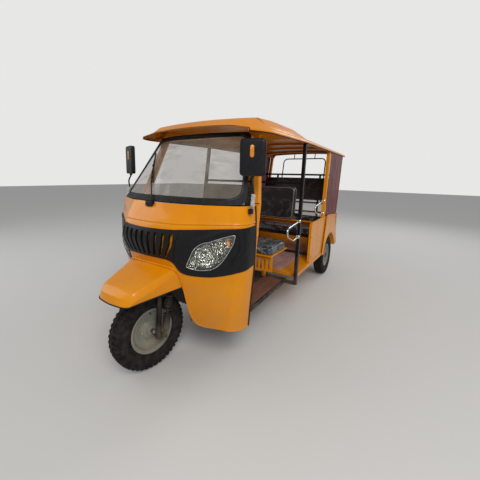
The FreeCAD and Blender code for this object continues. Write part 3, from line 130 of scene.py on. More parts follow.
def lamp(name, place, target, size, power, tint):
    """A soft square lamp that looks at a point."""
    bpy.ops.object.select_all(action="DESELECT")
    bpy.ops.object.light_add(type="AREA", location=place)
    light = bpy.context.object
    light.name = name
    light.rotation_euler = (Vector(target) - Vector(place)).to_track_quat("-Z", "Y").to_euler()
    light.data.size = size
    light.data.energy = power
    light.data.color = tint
    return light


lamp("key_lamp", (4.2, -4.6, 5.2), (0, -0.4, 0.9), 3.4, 270, (1.0, 0.985, 0.96))
lamp("fill_lamp", (-5.0, -3.4, 3.6), (0, 0, 0.9), 3.6, 70, (0.95, 0.98, 1.0))
lamp("back_lamp", (2.0, 5.4, 4.6), (0, 0.6, 1.0), 3.0, 90, (1, 1, 1))
print("three lamps and a pale world")

# %% [markdown]
# A finish is a small network of nodes. To keep those networks readable, one class wraps a socket, so
# that sums on sockets are written as plain Python and add their own Math nodes, and one method of the
# finish adds any other node from its type, its settings and its inputs. The patterns read Object
# coordinates. Every part sits at the origin unturned, so these are metres on the whole vehicle, and
# dust can simply thicken towards the ground.

# %% Sockets and finishes
class Value:
    """A socket that can be used in sums."""

    def __init__(self, finish, socket):
        self.finish = finish
        self.socket = socket

    def join(self, operation, other, swap=False):
        pair = (other, self) if swap else (self, other)
        return self.finish.calculate(operation, *pair)

    def __add__(self, other):
        return self.join("ADD", other)

    __radd__ = __add__

    def __mul__(self, other):
        return self.join("MULTIPLY", other)

    __rmul__ = __mul__

    def __sub__(self, other):
        return self.join("SUBTRACT", other)

    def __rsub__(self, other):
        return self.join("SUBTRACT", other, True)


class Finish:
    """A material and the one method that adds any node to it."""

    def __init__(self, name, **fixed):
        self.material = bpy.data.materials.new(name)
        self.material.use_nodes = True
        self.tree = self.material.node_tree
        self.shader = self.tree.nodes["Principled BSDF"]
        for socket, value in fixed.items():
            self.shader.inputs[socket.replace("_", " ")].default_value = value
        self.coords = self.node("ShaderNodeTexCoord", out="Object")

    def feed(self, socket, value):
        if isinstance(value, Value):
            self.tree.links.new(value.socket, socket)
        else:
            socket.default_value = value

    def node(self, kind, settings=None, inputs=None, out=0):
        new = self.tree.nodes.new(kind)
        for name, value in (settings or {}).items():
            if name == "stops":
                ramp = new.color_ramp
                while len(ramp.elements) < len(value):
                    ramp.elements.new(1)
                for stop, (spot, shade) in zip(ramp.elements, value):
                    stop.position = spot
                    stop.color = shade if isinstance(shade, tuple) else (shade, shade, shade, 1)
            else:
                setattr(new, name, value)
        for name, value in (inputs or {}).items():
            self.feed(new.inputs[name], value)
        return Value(self, new.outputs[out])

    def calculate(self, operation, *terms):
        return self.node("ShaderNodeMath", {"operation": operation}, dict(enumerate(terms)))

    def cells(self, scale, out=0, **settings):
        return self.node("ShaderNodeTexVoronoi", settings, {"Vector": self.coords, "Scale": scale}, out)

    def noise(self, scale, detail=3, rough=0.55, where=None):
        return self.node("ShaderNodeTexNoise", {}, {"Vector": where or self.coords, "Scale": scale,
                                                    "Detail": detail, "Roughness": rough})

    def stretched(self, x=1, y=1, z=1):
        return self.node("ShaderNodeMapping", {}, {"Vector": self.coords, "Scale": (x, y, z)})

    def ramp(self, value, low, high, first=0.0, last=1.0):
        """Maps a value from low..high to first..last, and stops at the ends."""
        return self.node("ShaderNodeMapRange", {}, {"Value": value, "From Min": low, "From Max": high,
                                                    "To Min": first, "To Max": last})

    def part(self, axis, of=None):
        """One part of a vector. That of the coordinates is the place on the vehicle in metres."""
        return self.node("ShaderNodeSeparateXYZ", {}, {0: of or self.coords}, out=axis)

    def blend(self, factor, first, second):
        return self.node("ShaderNodeMix", {"data_type": "RGBA"}, {0: factor, 6: first, 7: second}, out=2)

    def bump(self, height, distance):
        return self.node("ShaderNodeBump", {}, {"Height": height, "Distance": distance})

    def set(self, **wired):
        for socket, value in wired.items():
            self.feed(self.shader.inputs[socket.replace("_", " ")], value)
        return self.material


def colour(red, green, blue):
    """A colour as a picture editor names it, 0 to 255, in the shader's own scale."""
    parts = []
    for part in (red, green, blue):
        part = part / 255
        parts.append(part / 12.92 if part <= 0.04045 else ((part + 0.055) / 1.055) ** 2.4)
    return (*parts, 1.0)


# %% [markdown]
# Enamel on pressed steel is never quite even: the coat is a little thicker here and there, its surface
# has a fine orange peel, and road dust gathers low down, where it also takes the shine away. One recipe
# serves the yellow, black, red and grey paint, with its colour, its shine and its amount of dust.

# %% Painted steel
def painted(name, tone, shade, rough, coat, dust=0.35, peel=0.00012):
    f = Finish(name, Coat_Roughness=0.07, Coat_IOR=1.32, IOR=1.45, Specular_IOR_Level=0.16)
    cloudy = f.ramp(f.noise(2.2, 4), 0.3, 0.7)
    spots = f.ramp(f.noise(420, 2), 0.60, 0.75)
    low = f.ramp(f.part("Z"), 0.75, 0.25) * dust
    settled = f.ramp(f.noise(9, 5), 0.35, 0.75) * low
    base = f.blend(cloudy, tone, shade)
    base = f.blend(settled + spots * low * 0.4, base, colour(150, 132, 108))
    rubbed = f.ramp(f.noise(14, 5, where=f.stretched(1, 1, 0.25)), 0.42, 0.66, rough - 0.05, rough + 0.10)
    uneven = f.noise(160, 2)
    return f.set(Base_Color=base, Roughness=rubbed + settled * 0.5, Coat_Weight=coat - settled * coat,
                 Normal=f.bump(uneven, peel))


yellow_paint = painted("yellow_enamel", colour(224, 142, 0), colour(210, 126, 0), 0.26, 0.5)
roof_paint = painted("roof_enamel", colour(222, 138, 6), colour(206, 124, 12), 0.34, 0.22)
# The roof's bows and rails take a darker, browner and duller copy of the yellow enamel: painted shade under
# the roof.
shaded_yellow_paint = painted("yellow_enamel_painted_shade", colour(186, 104, 16), colour(160, 84, 10), 0.42, 0.12)
black_paint = painted("black_enamel", colour(20, 16, 20), colour(27, 22, 27), 0.30, 0.22)
red_paint = painted("maroon_enamel", colour(112, 22, 24), colour(92, 16, 19), 0.34, 0.2)
grey_paint = painted("silver_grey_enamel", colour(134, 136, 128), colour(112, 114, 106), 0.34, 0.3, dust=0.6)
dark_steel = painted("chassis_black", colour(24, 23, 24), colour(34, 31, 30), 0.5, 0.10, dust=0.45,
                     peel=0.0003)
print("painted steel ready")

# %% [markdown]
# Moulded plastic has a fine grain that scatters the light, so it looks matte beside the paint. Two
# noises give it: one for the grain itself, one for the slightly polished places where hands and cloths
# have passed.

# %% Moulded plastic and rubber
def moulded(name, tone, rough, grain=0.00010, dust=0.15):
    f = Finish(name, IOR=1.46, Specular_IOR_Level=0.22)
    handled = f.ramp(f.noise(6, 4), 0.35, 0.7, rough - 0.07, rough + 0.08)
    dusty = f.ramp(f.noise(30, 4), 0.45, 0.8) * dust
    base = f.blend(dusty, tone, colour(96, 90, 84))
    return f.set(Base_Color=base, Roughness=handled, Normal=f.bump(f.noise(700, 2), grain))


mask_plastic = moulded("black_mask_plastic", colour(21, 20, 22), 0.42, dust=0.05)
trim_plastic = moulded("black_trim_plastic", colour(26, 26, 28), 0.40)
housing_plastic = moulded("grained_housing_plastic", colour(25, 25, 28), 0.4, grain=0.00022, dust=0.06)
rubber_seal = moulded("black_rubber_strip", colour(22, 22, 23), 0.55)

f = Finish("tyre_rubber", IOR=1.5, Specular_IOR_Level=0.2)
streaks = f.ramp(f.noise(26, 5), 0.38, 0.78)
base = f.blend(streaks * 0.45, colour(22, 20, 20), colour(74, 67, 60))
tyre_rubber = f.set(Base_Color=base, Roughness=f.ramp(f.noise(60, 3), 0.3, 0.7, 0.68, 0.9),
                    Normal=f.bump(f.noise(300, 3), 0.0003))
trim_grey = moulded("grey_filler_strip", colour(78, 76, 78), 0.35)
print("plastic and rubber ready")

# %% [markdown]
# Chrome is nearly a mirror. What makes it believable is that it isn't quite one: fingerprints and a
# little haze change its roughness along the tube. Cast metal is the opposite, dull with a sandy skin.

# %% Bare metal
def metal(name, tone, rough, spread, grain=0.00002):
    f = Finish(name, Metallic=1.0)
    smudges = f.ramp(f.noise(38, 5), 0.35, 0.72, rough, rough + spread)
    base = f.blend(f.ramp(f.noise(12, 4), 0.4, 0.8) * 0.35, tone, colour(110, 104, 96))
    return f.set(Base_Color=base, Roughness=smudges, Normal=f.bump(f.noise(500, 3), grain))


chrome = metal("polished_chrome", colour(215, 214, 210), 0.08, 0.16)
bolt_zinc = metal("zinc_bolts", colour(190, 186, 172), 0.30, 0.2)
cast_grey = metal("cast_aluminium", colour(142, 143, 144), 0.5, 0.2, grain=0.0004)
mirror_face = metal("mirror_silvering", colour(210, 214, 216), 0.03, 0.05)
rust_brown = moulded("primer_brown", colour(112, 66, 50), 0.6, grain=0.0003)
print("bare metal ready")

# %% [markdown]
# The windscreen and the lamp lenses are clear, but the screen still wears a thin dusty film with long
# wiping marks. Instead of real refraction, which needs many light paths, the glass is mostly see-through
# by its Alpha and keeps its shine, with the dust raising Alpha where it lies.

# %% Glass and lenses
def clear(name, tone, clearness, haze, rough=0.05, smear=(3, 9)):
    f = Finish(name, IOR=1.45, Specular_IOR_Level=0.5)
    film = f.ramp(f.noise(smear[0], 6, 0.62), 0.42, 0.72)
    wiped = f.ramp(f.noise(smear[1], 5, 0.6, f.stretched(0.5, 1, 1.8)), 0.45, 0.7)
    veil = film * wiped * haze
    return f.set(Base_Color=f.blend(film * 0.5, tone, colour(186, 176, 166)), Alpha=veil + (1 - clearness),
                 Roughness=f.ramp(f.noise(18, 5), 0.4, 0.8, rough, rough + 0.12))


screen_glass = clear("dusty_windscreen", colour(118, 108, 96), 0.66, 0.36)
lens_clear = clear("clear_lamp_lens", colour(222, 228, 230), 0.965, 0.02, rough=0.03, smear=(14, 30))


LENS_RIBS = 900  # radians per metre


def lens(name, tone, deep):
    """A coloured lens with fine ribs."""
    f = Finish(name, Coat_Weight=0.7, Coat_Roughness=0.04, IOR=1.5, Roughness=0.18)
    ribs = f.calculate("SINE", f.part("X") * LENS_RIBS)
    base = f.blend(f.ramp(f.noise(40, 3), 0.35, 0.7), tone, deep)
    return f.set(Base_Color=base, Normal=f.bump(ribs, 0.0006))


amber_lens = lens("amber_lens", colour(235, 150, 20), colour(214, 120, 10))
red_lens = lens("red_lens", colour(176, 20, 18), colour(140, 10, 12))
lens_pale = lens("pale_lens", colour(206, 208, 204), colour(170, 172, 170))
print("glass ready")

# %% [markdown]
# The seats are covered in black-brown leathercloth and still wear the clear film they were delivered
# in. Close up that film is what one sees first: it is glossy, it wrinkles, and it catches pale streaks.
# Leather grain comes from small cells, the film from a coat over it whose wrinkles are larger, and the
# pale marbling is the light caught under the film.

# %% Leathercloth under clear film
def wrapped(name, tone, shade, marble, film_scale=16, wrinkle=0.0022, film=(0.40, 0.43, 0.44, 1), coat=0.5):
    f = Finish(name, Coat_Roughness=0.07, IOR=1.5, Coat_IOR=1.5, Coat_Weight=coat, Specular_IOR_Level=0.25)
    cells = f.cells(520, feature="DISTANCE_TO_EDGE")
    folds = f.noise(film_scale, 5, 0.6)
    creases = f.ramp(f.calculate("ABSOLUTE", folds - 0.5), 0.0, 0.05, 1.0, 0.0)
    fine = f.noise(film_scale * 4, 4, 0.6)
    pale = f.ramp(fine * creases, 0.18, 0.62) * marble
    base = f.blend(f.ramp(f.noise(3, 4), 0.35, 0.7), tone, shade)
    base = f.blend(pale, base, film)
    grain = f.ramp(f.calculate("MINIMUM", cells, 0.12), 0, 0.12) * 0.05
    depth = creases * 0.8 + fine * 0.5 + grain
    return f.set(Base_Color=base, Roughness=f.ramp(fine, 0.3, 0.7, 0.30, 0.48),
                 Normal=f.bump(depth, wrinkle))


driver_vinyl = wrapped("filmed_driver_leathercloth", colour(42, 48, 52), colour(62, 70, 74), 0.95)
seat_vinyl = wrapped("wrapped_seat_leathercloth", colour(30, 27, 29), colour(44, 40, 42), 0.45, 11, 0.0016,
                     coat=1.0)
back_vinyl = wrapped("wrapped_back_leathercloth", colour(27, 20, 22), colour(38, 30, 30), 0.10, 7, 0.0010,
                     coat=0.4)
piping_vinyl = moulded("pale_seat_piping", colour(138, 126, 120), 0.4)
f = Finish("cloudy_wrapping_film", Coat_Weight=0.6, Coat_Roughness=0.1, IOR=1.45)
crumple = f.noise(55, 5, 0.65)
wrap_film = f.set(Base_Color=f.blend(crumple, colour(226, 224, 216), colour(180, 178, 170)),
                  Alpha=f.ramp(crumple, 0.3, 0.7, 0.35, 0.9), Roughness=f.ramp(crumple, 0.3, 0.7, 0.2, 0.5),
                  Normal=f.bump(crumple, 0.006))
print("seat covers ready")

# %% [markdown]
# Two floor mats: a brown one with fine ribs under the driver's feet and a pinkish one for the
# passengers, which shows long scuffs along the vehicle. The ribs lie across, as a sine of Y.

# %% Floor mats
def mat(name, tone, worn, pitch, scuffs):
    f = Finish(name, IOR=1.45)
    ribs = f.calculate("SINE", f.part("Y") * (2 * math.pi / pitch))
    marks = f.ramp(f.noise(7, 6, 0.65, f.stretched(2.2, 0.5, 1)), 0.42, 0.72) * scuffs
    base = f.blend(marks, tone, worn)
    return f.set(Base_Color=base, Roughness=f.ramp(f.noise(20, 4), 0.3, 0.7, 0.5, 0.72),
                 Normal=f.bump(ribs + f.noise(260, 2) * 0.8, 0.0005))


mat_brown = mat("brown_ribbed_mat", colour(104, 66, 50), colour(132, 96, 78), 0.008, 0.6)
mat_pink = mat("pink_brown_mat", colour(164, 122, 114), colour(196, 164, 156), 0.016, 0.8)
print("floor mats ready")

# %% [markdown]
# Every CAD node takes a finish. Pieces that are modelled below replace some of the nodes later.

# %% Finishes on the CAD nodes
BY_NODE = {
    yellow_paint: ["front_cab", "front_mudguard", "side_panel_left", "side_panel_right", "rear_mudguard_left",
                   "rear_mudguard_right", "rear_panel", "front_hoop", "pillar_mid_left", "pillar_mid_right",
                   "rear_frame", "driver_bench", "passenger_floor", "rear_bench", "roof_shell"],
    # painted shade: the same yellow, darkened where it lies under the roof
    shaded_yellow_paint: ["roof_bows", "roof_rails"],
    black_paint: ["side_posts", "rear_back_rails", "rear_window_hoop", "middle_bench", "fork", "handlebar"],
    red_paint: ["quarter_panel_left", "quarter_panel_right"],
    grey_paint: ["front_rim", "rear_rim_left", "rear_rim_right"],
    dark_steel: ["chassis_frame", "driver_floor", "wheel_well", "steering_head", "fork_links", "fork_springs",
                 "leaf_springs", "rear_axle"],
    cast_grey: ["engine"],
    chrome: ["grab_handles"],
    mask_plastic: ["cab_mask"],
    trim_plastic: ["hand_grips", "dashboard", "wiper", "mirror_left", "mirror_right"],
    rubber_seal: ["windscreen_seal"],
    tyre_rubber: ["front_tyre", "rear_tyre_left", "rear_tyre_right"],
    screen_glass: ["windscreen"],
    lens_clear: ["headlamp_left", "headlamp_right"],
    red_lens: ["tail_lamps"],
    mat_brown: ["driver_mat"],
    mat_pink: ["passenger_mat"],
    seat_vinyl: ["driver_cushion", "middle_cushion", "rear_cushion"],
    back_vinyl: ["driver_backrest", "rear_backrest"],
}
for finish, names in BY_NODE.items():
    for name in names:
        node = nodes[name]
        if not node.data.materials:
            node.data.materials.append(finish)
        for slot in node.material_slots:
            slot.material = finish
print("finishes on", sum(len(names) for names in BY_NODE.values()), "nodes; without one:",
      sorted(set(nodes) - {name for names in BY_NODE.values() for name in names}))

# %% [markdown]
# A few habits keep the modelling short. Before each step everything is deselected, because an operator
# acts on all that is selected. A new primitive is named, then opened in edit mode, and its faces or
# vertices are picked in code by a question about their place or their direction. When a piece is done
# its place is applied to its mesh, its soft edges are shaded, and it is told which body it rides on.

# %% Modelling habits
AXLE_Y, REAR_AXLE_Y, AXLE_Z, REAR_HALF = -1.581, 1.119, 0.278, 0.558  # wheel centres, half rear track
POST_FOOT, POST_LEAN = (0.639, -0.285, 0.314), (-0.027, 0.178, 1.428)  # side post: foot, then way up
MERGED = 0.00002
SIDES = (("left", 1), ("right", -1))


def leave():
    bpy.ops.object.mode_set(mode="OBJECT")


def take_all():
    bpy.ops.mesh.select_all(action="SELECT")


def apply_place():
    bpy.ops.object.transform_apply(location=True, rotation=True, scale=True)


def shift(way):
    bpy.ops.transform.translate(value=way)


def inset(width):
    bpy.ops.mesh.inset(thickness=width)


def extrude(way):
    bpy.ops.mesh.extrude_region_move(TRANSFORM_OT_translate={"value": way})


def swell(height):
    bpy.ops.mesh.extrude_region_shrink_fatten(TRANSFORM_OT_shrink_fatten={"value": height})


def close_up(merge=False, inside=False):
    """Ends edit mode with every face pointing out, and doubles merged if asked."""
    take_all()
    if merge:
        bpy.ops.mesh.remove_doubles(threshold=MERGED)
    bpy.ops.mesh.normals_make_consistent(inside=inside)
    leave()


def facing(sign):
    """Turns what faces +X to the side of the sign."""
    return Matrix.Rotation(0 if sign > 0 else math.pi, 4, "Z")


def sided(points, sign):
    return [(x * sign, y, z) for x, y, z in points]


def spread(first, last, count):
    return [first + (last - first) * i / count for i in range(count + 1)]


def deselect():
    if bpy.context.object and bpy.context.object.mode != "OBJECT":
        leave()
    bpy.ops.object.select_all(action="DESELECT")


def only(piece):
    deselect()
    piece.select_set(True)
    bpy.context.view_layer.objects.active = piece
    return piece


def primitive(kind, name, **sizes):
    """A named primitive, alone in the selection."""
    deselect()
    getattr(bpy.ops.mesh, "primitive_%s_add" % kind)(**sizes)
    piece = bpy.context.object
    piece.name = name
    return piece


def edit(piece, what="FACE"):
    only(piece)
    bpy.ops.object.mode_set(mode="EDIT")
    bpy.ops.mesh.select_mode(type=what)
    bpy.ops.mesh.select_all(action="DESELECT")


def pick(piece, test, what="FACE"):
    """Selects what passes the test: a face by centre and normal, an edge by its two ends."""
    mesh = bmesh.from_edit_mesh(piece.data)
    bpy.ops.mesh.select_mode(type=what)
    bpy.ops.mesh.select_all(action="DESELECT")
    if what == "FACE":
        chosen = [face for face in mesh.faces if test(face.calc_center_median(), face.normal)]
    else:
        chosen = [edge for edge in mesh.edges if test(*(vert.co for vert in edge.verts))]
    for item in chosen:
        item.select_set(True)
    bmesh.update_edit_mesh(piece.data)


def modify(piece, kind, **settings):
    """Adds a modifier, sets it and applies it."""
    only(piece)
    modifier = piece.modifiers.new(kind.lower(), kind)
    for name, value in settings.items():
        setattr(modifier, name, value)
    bpy.ops.object.modifier_apply(modifier=modifier.name)
    return piece


def outward(piece):
    """Merges doubles and points every face out."""
    edit(piece)
    close_up(merge=True)
    return piece


def settle(piece, body, finish, smooth=35):
    """Applies a piece's place, shades it, gives it its finish and its body."""
    only(piece)
    apply_place()
    bpy.ops.object.shade_smooth_by_angle(angle=math.radians(smooth))
    piece.data.materials.append(finish)
    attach(piece, body)
    return piece


def copy_of(piece, name, place):
    """A copy with its own mesh, moved by a matrix that goes into the mesh."""
    twin = piece.copy()
    twin.data = piece.data.copy()
    twin.name = name
    bpy.context.collection.objects.link(twin)
    twin.data.transform(place)
    return twin


def joined(pieces, name):
    deselect()
    for piece in pieces:
        piece.select_set(True)
    bpy.context.view_layer.objects.active = pieces[0]
    if len(pieces) > 1:
        bpy.ops.object.join()
    pieces[0].name = name
    return pieces[0]


def turned(name, profile, place=(0, 0, 0), axis="X", steps=48):
    """A turned piece: one vertex is extruded along the profile (along the axis, radius) and spun."""
    piece = primitive("plane", name, size=0.001, location=(0, 0, 0))
    edit(piece, "VERT")
    take_all()
    bpy.ops.mesh.merge(type="CENTER")
    last = Vector((profile[0][0], 0, profile[0][1]))
    shift(last)
    for along, radius in profile[1:]:
        point = Vector((along, 0, radius))
        extrude(point - last)
        last = point
    take_all()
    bpy.ops.mesh.spin(steps=steps, angle=2 * math.pi, center=(0, 0, 0), axis=(1, 0, 0))
    close_up(merge=True)
    piece.rotation_euler = {"X": (0, 0, 0), "Y": (0, 0, math.pi / 2), "Z": (0, -math.pi / 2, 0)}[axis]
    piece.location = place
    only(piece)
    apply_place()
    return piece


def cuboid(name, sizes, centre=(0, 0, 0)):
    piece = primitive("cube", name, size=1, location=centre, scale=sizes)
    apply_place()
    return piece


def round_edges(piece, axis, radius, along=True, segments=6):
    """Rounds a cuboid's edges that run along an axis, or the others, and stays in edit mode."""
    if along:
        edit(piece, "EDGE")
    pick(piece, lambda a, b: (abs(a[axis] - b[axis]) > 0.001) == along, "EDGE")
    bpy.ops.mesh.bevel(offset=radius, segments=segments, affect="EDGES")


def block(name, low, high, soft=0.002, segments=2):
    """A block between two corners with its edges bevelled."""
    low, high = Vector(low), Vector(high)
    piece = cuboid(name, high - low, (low + high) / 2)
    edit(piece)
    take_all()
    bpy.ops.mesh.bevel(offset=soft, segments=segments, affect="EDGES")
    leave()
    return piece


def laid_grid(name, rows):
    """A grid with one vertex at each point of the rows."""
    across, along = len(rows[0]) - 1, len(rows) - 1
    grid = primitive("grid", name, x_subdivisions=across, y_subdivisions=along, size=1)
    for vert in grid.data.vertices:
        vert.co = rows[round((vert.co.y + 0.5) * along)][round((vert.co.x + 0.5) * across)]
    return grid


def pipe(name, points, radius, smooth=True, cyclic=False, ring=4):
    """A bent tube: a curve through the points, made round by its bevel and then made a mesh."""
    deselect()
    bpy.ops.curve.primitive_bezier_curve_add(location=(0, 0, 0))
    curve = bpy.context.object
    curve.name = name
    spline = curve.data.splines[0]
    spline.bezier_points.add(len(points) - 2)
    for knot, point in zip(spline.bezier_points, points):
        knot.co = point
        knot.handle_left_type = knot.handle_right_type = "AUTO" if smooth else "VECTOR"
    spline.use_cyclic_u = cyclic
    curve.data.dimensions = "3D"
    curve.data.bevel_depth = radius
    curve.data.bevel_resolution = ring
    curve.data.resolution_u = 10
    curve.data.use_fill_caps = not cyclic
    bpy.ops.object.convert(target="MESH")
    return outward(bpy.context.object)


def bead(name, points, radius, finish, **shape):
    """A tube that rides on the body."""
    return settle(pipe(name, points, radius, **shape), "body", finish, 60)


def bend_points(points, radius, count=4):
    """Rounds the corners of a bent tube's route, so the bends have one radius."""
    points = [Vector(p) for p in points]
    out = [points[0]]
    for before, corner, after in zip(points, points[1:], points[2:]):
        a, b = (before - corner), (after - corner)
        half = a.angle(b) / 2
        back = min(radius / math.tan(half), a.length * 0.45, b.length * 0.45)
        start, end = corner + a.normalized() * back, corner + b.normalized() * back
        for i in range(count + 1):
            t = i / count
            out.append(start * (1 - t) ** 2 + corner * 2 * t * (1 - t) + end * t * t)
    out.append(points[-1])
    return out


front_axle = Vector((0, AXLE_Y, AXLE_Z))
steer = frame["joints"][0]
pivot = Vector(steer["pos_m"])
steered = Matrix.Translation(pivot) @ Matrix.Rotation(math.radians(-10), 4, Vector(steer["axis"])) \
    @ Matrix.Translation(-pivot)
print("the steered parts are turned at rest by -10 degrees about", [round(v, 3) for v in steer["axis"]])

# %% [markdown]
# A tyre is a turned shape: its section is drawn once from bead to bead and spun about the axle. The
# tread shows blocks at both shoulders and zigzag ribs between them. Every second sector of the shoulder
# faces is picked by its angle and extruded outwards, and the ribs are grooves in the section. The spin
# is wide enough that each lug is one sector, so the whole tyre stays light.

# %% Tyres
LUGS = 46


def tyre(name, place):
    profile = [(-0.0445, 0.1565), (-0.0445, 0.166), (-0.050, 0.172), (-0.058, 0.187), (-0.0605, 0.205),
               (-0.0606, 0.222), (-0.0585, 0.240), (-0.055, 0.252), (-0.0505, 0.262), (-0.040, 0.2695),
               (-0.0385, 0.2665), (-0.0345, 0.2665), (-0.033, 0.2745), (-0.0185, 0.2765), (-0.017, 0.2695),
               (-0.0125, 0.2695), (-0.011, 0.277), (0.0, 0.2775)]
    profile += [(-along, radius) for along, radius in reversed(profile[:-1])]
    piece = turned(name, profile, steps=2 * LUGS)
    edit(piece)

    def sector(point):
        return int((math.atan2(point.y, point.z) + 2 * math.pi + 0.001) / (math.pi / LUGS)) % 2

    pick(piece, lambda c, n: 0.0395 < abs(c.x) < 0.0585 and c.yz.length > 0.245 and sector(c))
    swell(0.0062)
    pick(piece, lambda c, n: 0.0125 < abs(c.x) < 0.032 and c.yz.length > 0.2735 and not sector(c)
         and abs(n.x) < 0.4)
    swell(-0.0042)
    pick(piece, lambda c, n: 0.208 < c.yz.length < 0.215 and abs(c.x) > 0.058)
    swell(0.0004)
    leave()
    piece.data.transform(place)
    for vert in piece.data.vertices:
        vert.co.z = max(vert.co.z, 0.0)
    return piece


def wheel_place(sign):
    return Matrix.Translation((REAR_HALF * sign, REAR_AXLE_Y, AXLE_Z))


front_place = steered @ Matrix.Translation(front_axle)
front = tyre("front_tyre_lugged", front_place)
settle(front, "front_wheel", tyre_rubber, 30)
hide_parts("front_tyre")
for side, sign in SIDES:
    rear = tyre("rear_tyre_lugged_" + side, wheel_place(sign))
    settle(rear, "rear_wheel_" + side, tyre_rubber, 30)
    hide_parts("rear_tyre_" + side)
print("tyres:", len(front.data.polygons), "faces each")

# %% [markdown]
# The rim is pressed from two steel discs and painted silver-grey. Its section is spun like the tyre's,
# with the rolled flange, the drop in the middle and the dish with a raised ring round the hub. Nuts and
# dimples repeat round the axle: one of each is modelled, and its copies are turned. The valve is one piece.

# %% Rims
def ring_of(piece, count, name, start=0.0):
    """Copies of a piece turned evenly about the X axis through the origin, joined into one."""
    copies = []
    for i in range(count):
        angle = start + 2 * math.pi * i / count
        copies.append(copy_of(piece, name + "_%d" % i, Matrix.Rotation(angle, 4, "X")))
    bpy.data.objects.remove(piece)
    return joined(copies, name)


def hexagon(name, radius, depth, place, edge, rise, sign=1):
    """A nut along X whose outer face is inset and then moved."""
    nut = primitive("cylinder", name, vertices=6, radius=radius, depth=depth, location=place,
                    rotation=(0, math.pi / 2, 0))
    apply_place()
    edit(nut)
    pick(nut, lambda c, n: n.x * sign > 0.9)
    inset(edge)
    extrude((rise * sign, 0, 0))
    leave()
    return nut


def rim(name, place, out, hub_bore, hub_end, body, node):
    """A rim with its dish facing out along +X times out."""
    profile = [(-hub_end, hub_bore), (-hub_end, 0.040), (-0.030, 0.0425), (-0.030, 0.078), (0.006, 0.083),
               (0.010, 0.096), (0.017, 0.108), (0.019, 0.120), (0.014, 0.128), (0.008, 0.1325),
               (-0.034, 0.1325), (-0.043, 0.138), (-0.0500, 0.150), (-0.0500, 0.1625), (-0.0465, 0.1625),
               (-0.0458, 0.1545), (0.0458, 0.1545), (0.0465, 0.1625), (0.0500, 0.1625), (0.0500, 0.150),
               (0.043, 0.1385), (0.032, 0.1355), (0.024, 0.130), (0.026, 0.120), (0.024, 0.107),
               (0.0165, 0.095), (0.0135, 0.082), (0.016, 0.070), (0.023, 0.062), (0.024, 0.054),
               (0.028, 0.050), (0.030, 0.040), (hub_end - 0.003, 0.037), (hub_end, 0.034),
               (hub_end, hub_bore), (-hub_end, hub_bore)]
    dish = turned(name, profile, steps=64)
    modify(dish, "BEVEL", width=0.0012, segments=2, limit_method="ANGLE", angle_limit=math.radians(28))
    place = place @ facing(out)
    dish.data.transform(place)
    settle(dish, body, grey_paint, 40)
    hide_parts(node)
    nut = hexagon("nut", 0.0085, 0.010, (0.0215, 0, 0.072), 0.0022, 0.005)
    nuts = ring_of(nut, 5, name + "_nuts", 0.35)
    nuts.data.transform(place)
    settle(nuts, body, bolt_zinc, 30)
    hole = primitive("uv_sphere", "dimple", segments=16, ring_count=8, radius=0.0095,
                     location=(0.0215, 0, 0.1135), scale=(0.35, 1, 1))
    apply_place()
    dimples = ring_of(hole, 10, name + "_bosses", 0.1)
    dimples.data.transform(place)
    settle(dimples, body, grey_paint, 60)
    valve = turned(name + "_valve", [(0.018, 0.0), (0.018, 0.0042), (0.034, 0.0040), (0.035, 0.0028),
                                     (0.045, 0.0028), (0.046, 0.0)], (0, 0, 0.124), steps=14)
    valve.data.transform(place)
    settle(valve, body, trim_plastic, 40)


rim("front_rim_pressed", front_place, 1, 0.0103, 0.0455, "front_wheel", "front_rim")
for side, sign in SIDES:
    rim("rear_rim_pressed_" + side, wheel_place(sign), sign, 0.0193, 0.0435, "rear_wheel_" + side,
        "rear_rim_" + side)
print("rims with nuts, bosses and valves")

# %% [markdown]
# The front axle ends in a nut on each side, which stands still with the links while the wheel turns.
# The rear hubs have a turned cap.

# %% Axle ends and hubs
for side, sign in SIDES:
    nut = hexagon("axle_nut_" + side, 0.0145, 0.012, (0.069 * sign, 0, 0), 0.003, -0.0015, sign)
    nut.data.transform(front_place)
    settle(nut, "steering", bolt_zinc, 30)
    cap = turned("hub_cap_" + side, [(0.0445, 0.0), (0.0445, 0.034), (0.050, 0.0335), (0.0545, 0.028),
                                     (0.056, 0.018), (0.0562, 0.0)], steps=32)
    cap.data.transform(wheel_place(sign) @ facing(sign))
    settle(cap, "rear_wheel_" + side, dark_steel, 40)
print("axle ends done")

# %% [markdown]
# The front cab is one pressed and moulded shell. Its shape was measured as eight level lines, from the
# foot to the belt under the windscreen: a shallow nose, a straight run to the flank, and a tight corner
# into the side. Between the lines the surface has to be smooth, so a cubic is run through each of their
# sizes. A place on the shell is named by w, from -1 at one rear edge to 1 at the other, and its height.

# %% The shell's level lines
CAB = [(0.305, 0.165, 0.254, 0.173, 0.480, 0.246, 0.600, 0.362),
       (0.480, 0.110, 0.245, 0.122, 0.520, 0.240, 0.612, 0.350),
       (0.640, 0.052, 0.225, 0.066, 0.548, 0.236, 0.626, 0.338),
       (0.780, 0.012, 0.205, 0.025, 0.566, 0.214, 0.636, 0.322),
       (0.950, -0.042, 0.240, -0.012, 0.568, 0.208, 0.640, 0.315),
       (1.052, -0.020, 0.250, 0.010, 0.566, 0.210, 0.640, 0.318),
       (1.130, 0.034, 0.268, 0.056, 0.556, 0.220, 0.638, 0.321),
       (1.206, 0.096, 0.300, 0.120, 0.536, 0.230, 0.630, 0.326)]
CAB_REAR = 0.400
lines = {}


def row_before(rows, spot):
    """The number of the last measured row before a place, which is each row's first number."""
    i = 0
    while i < len(rows) - 2 and spot > rows[i + 1][0]:
        i += 1
    return i


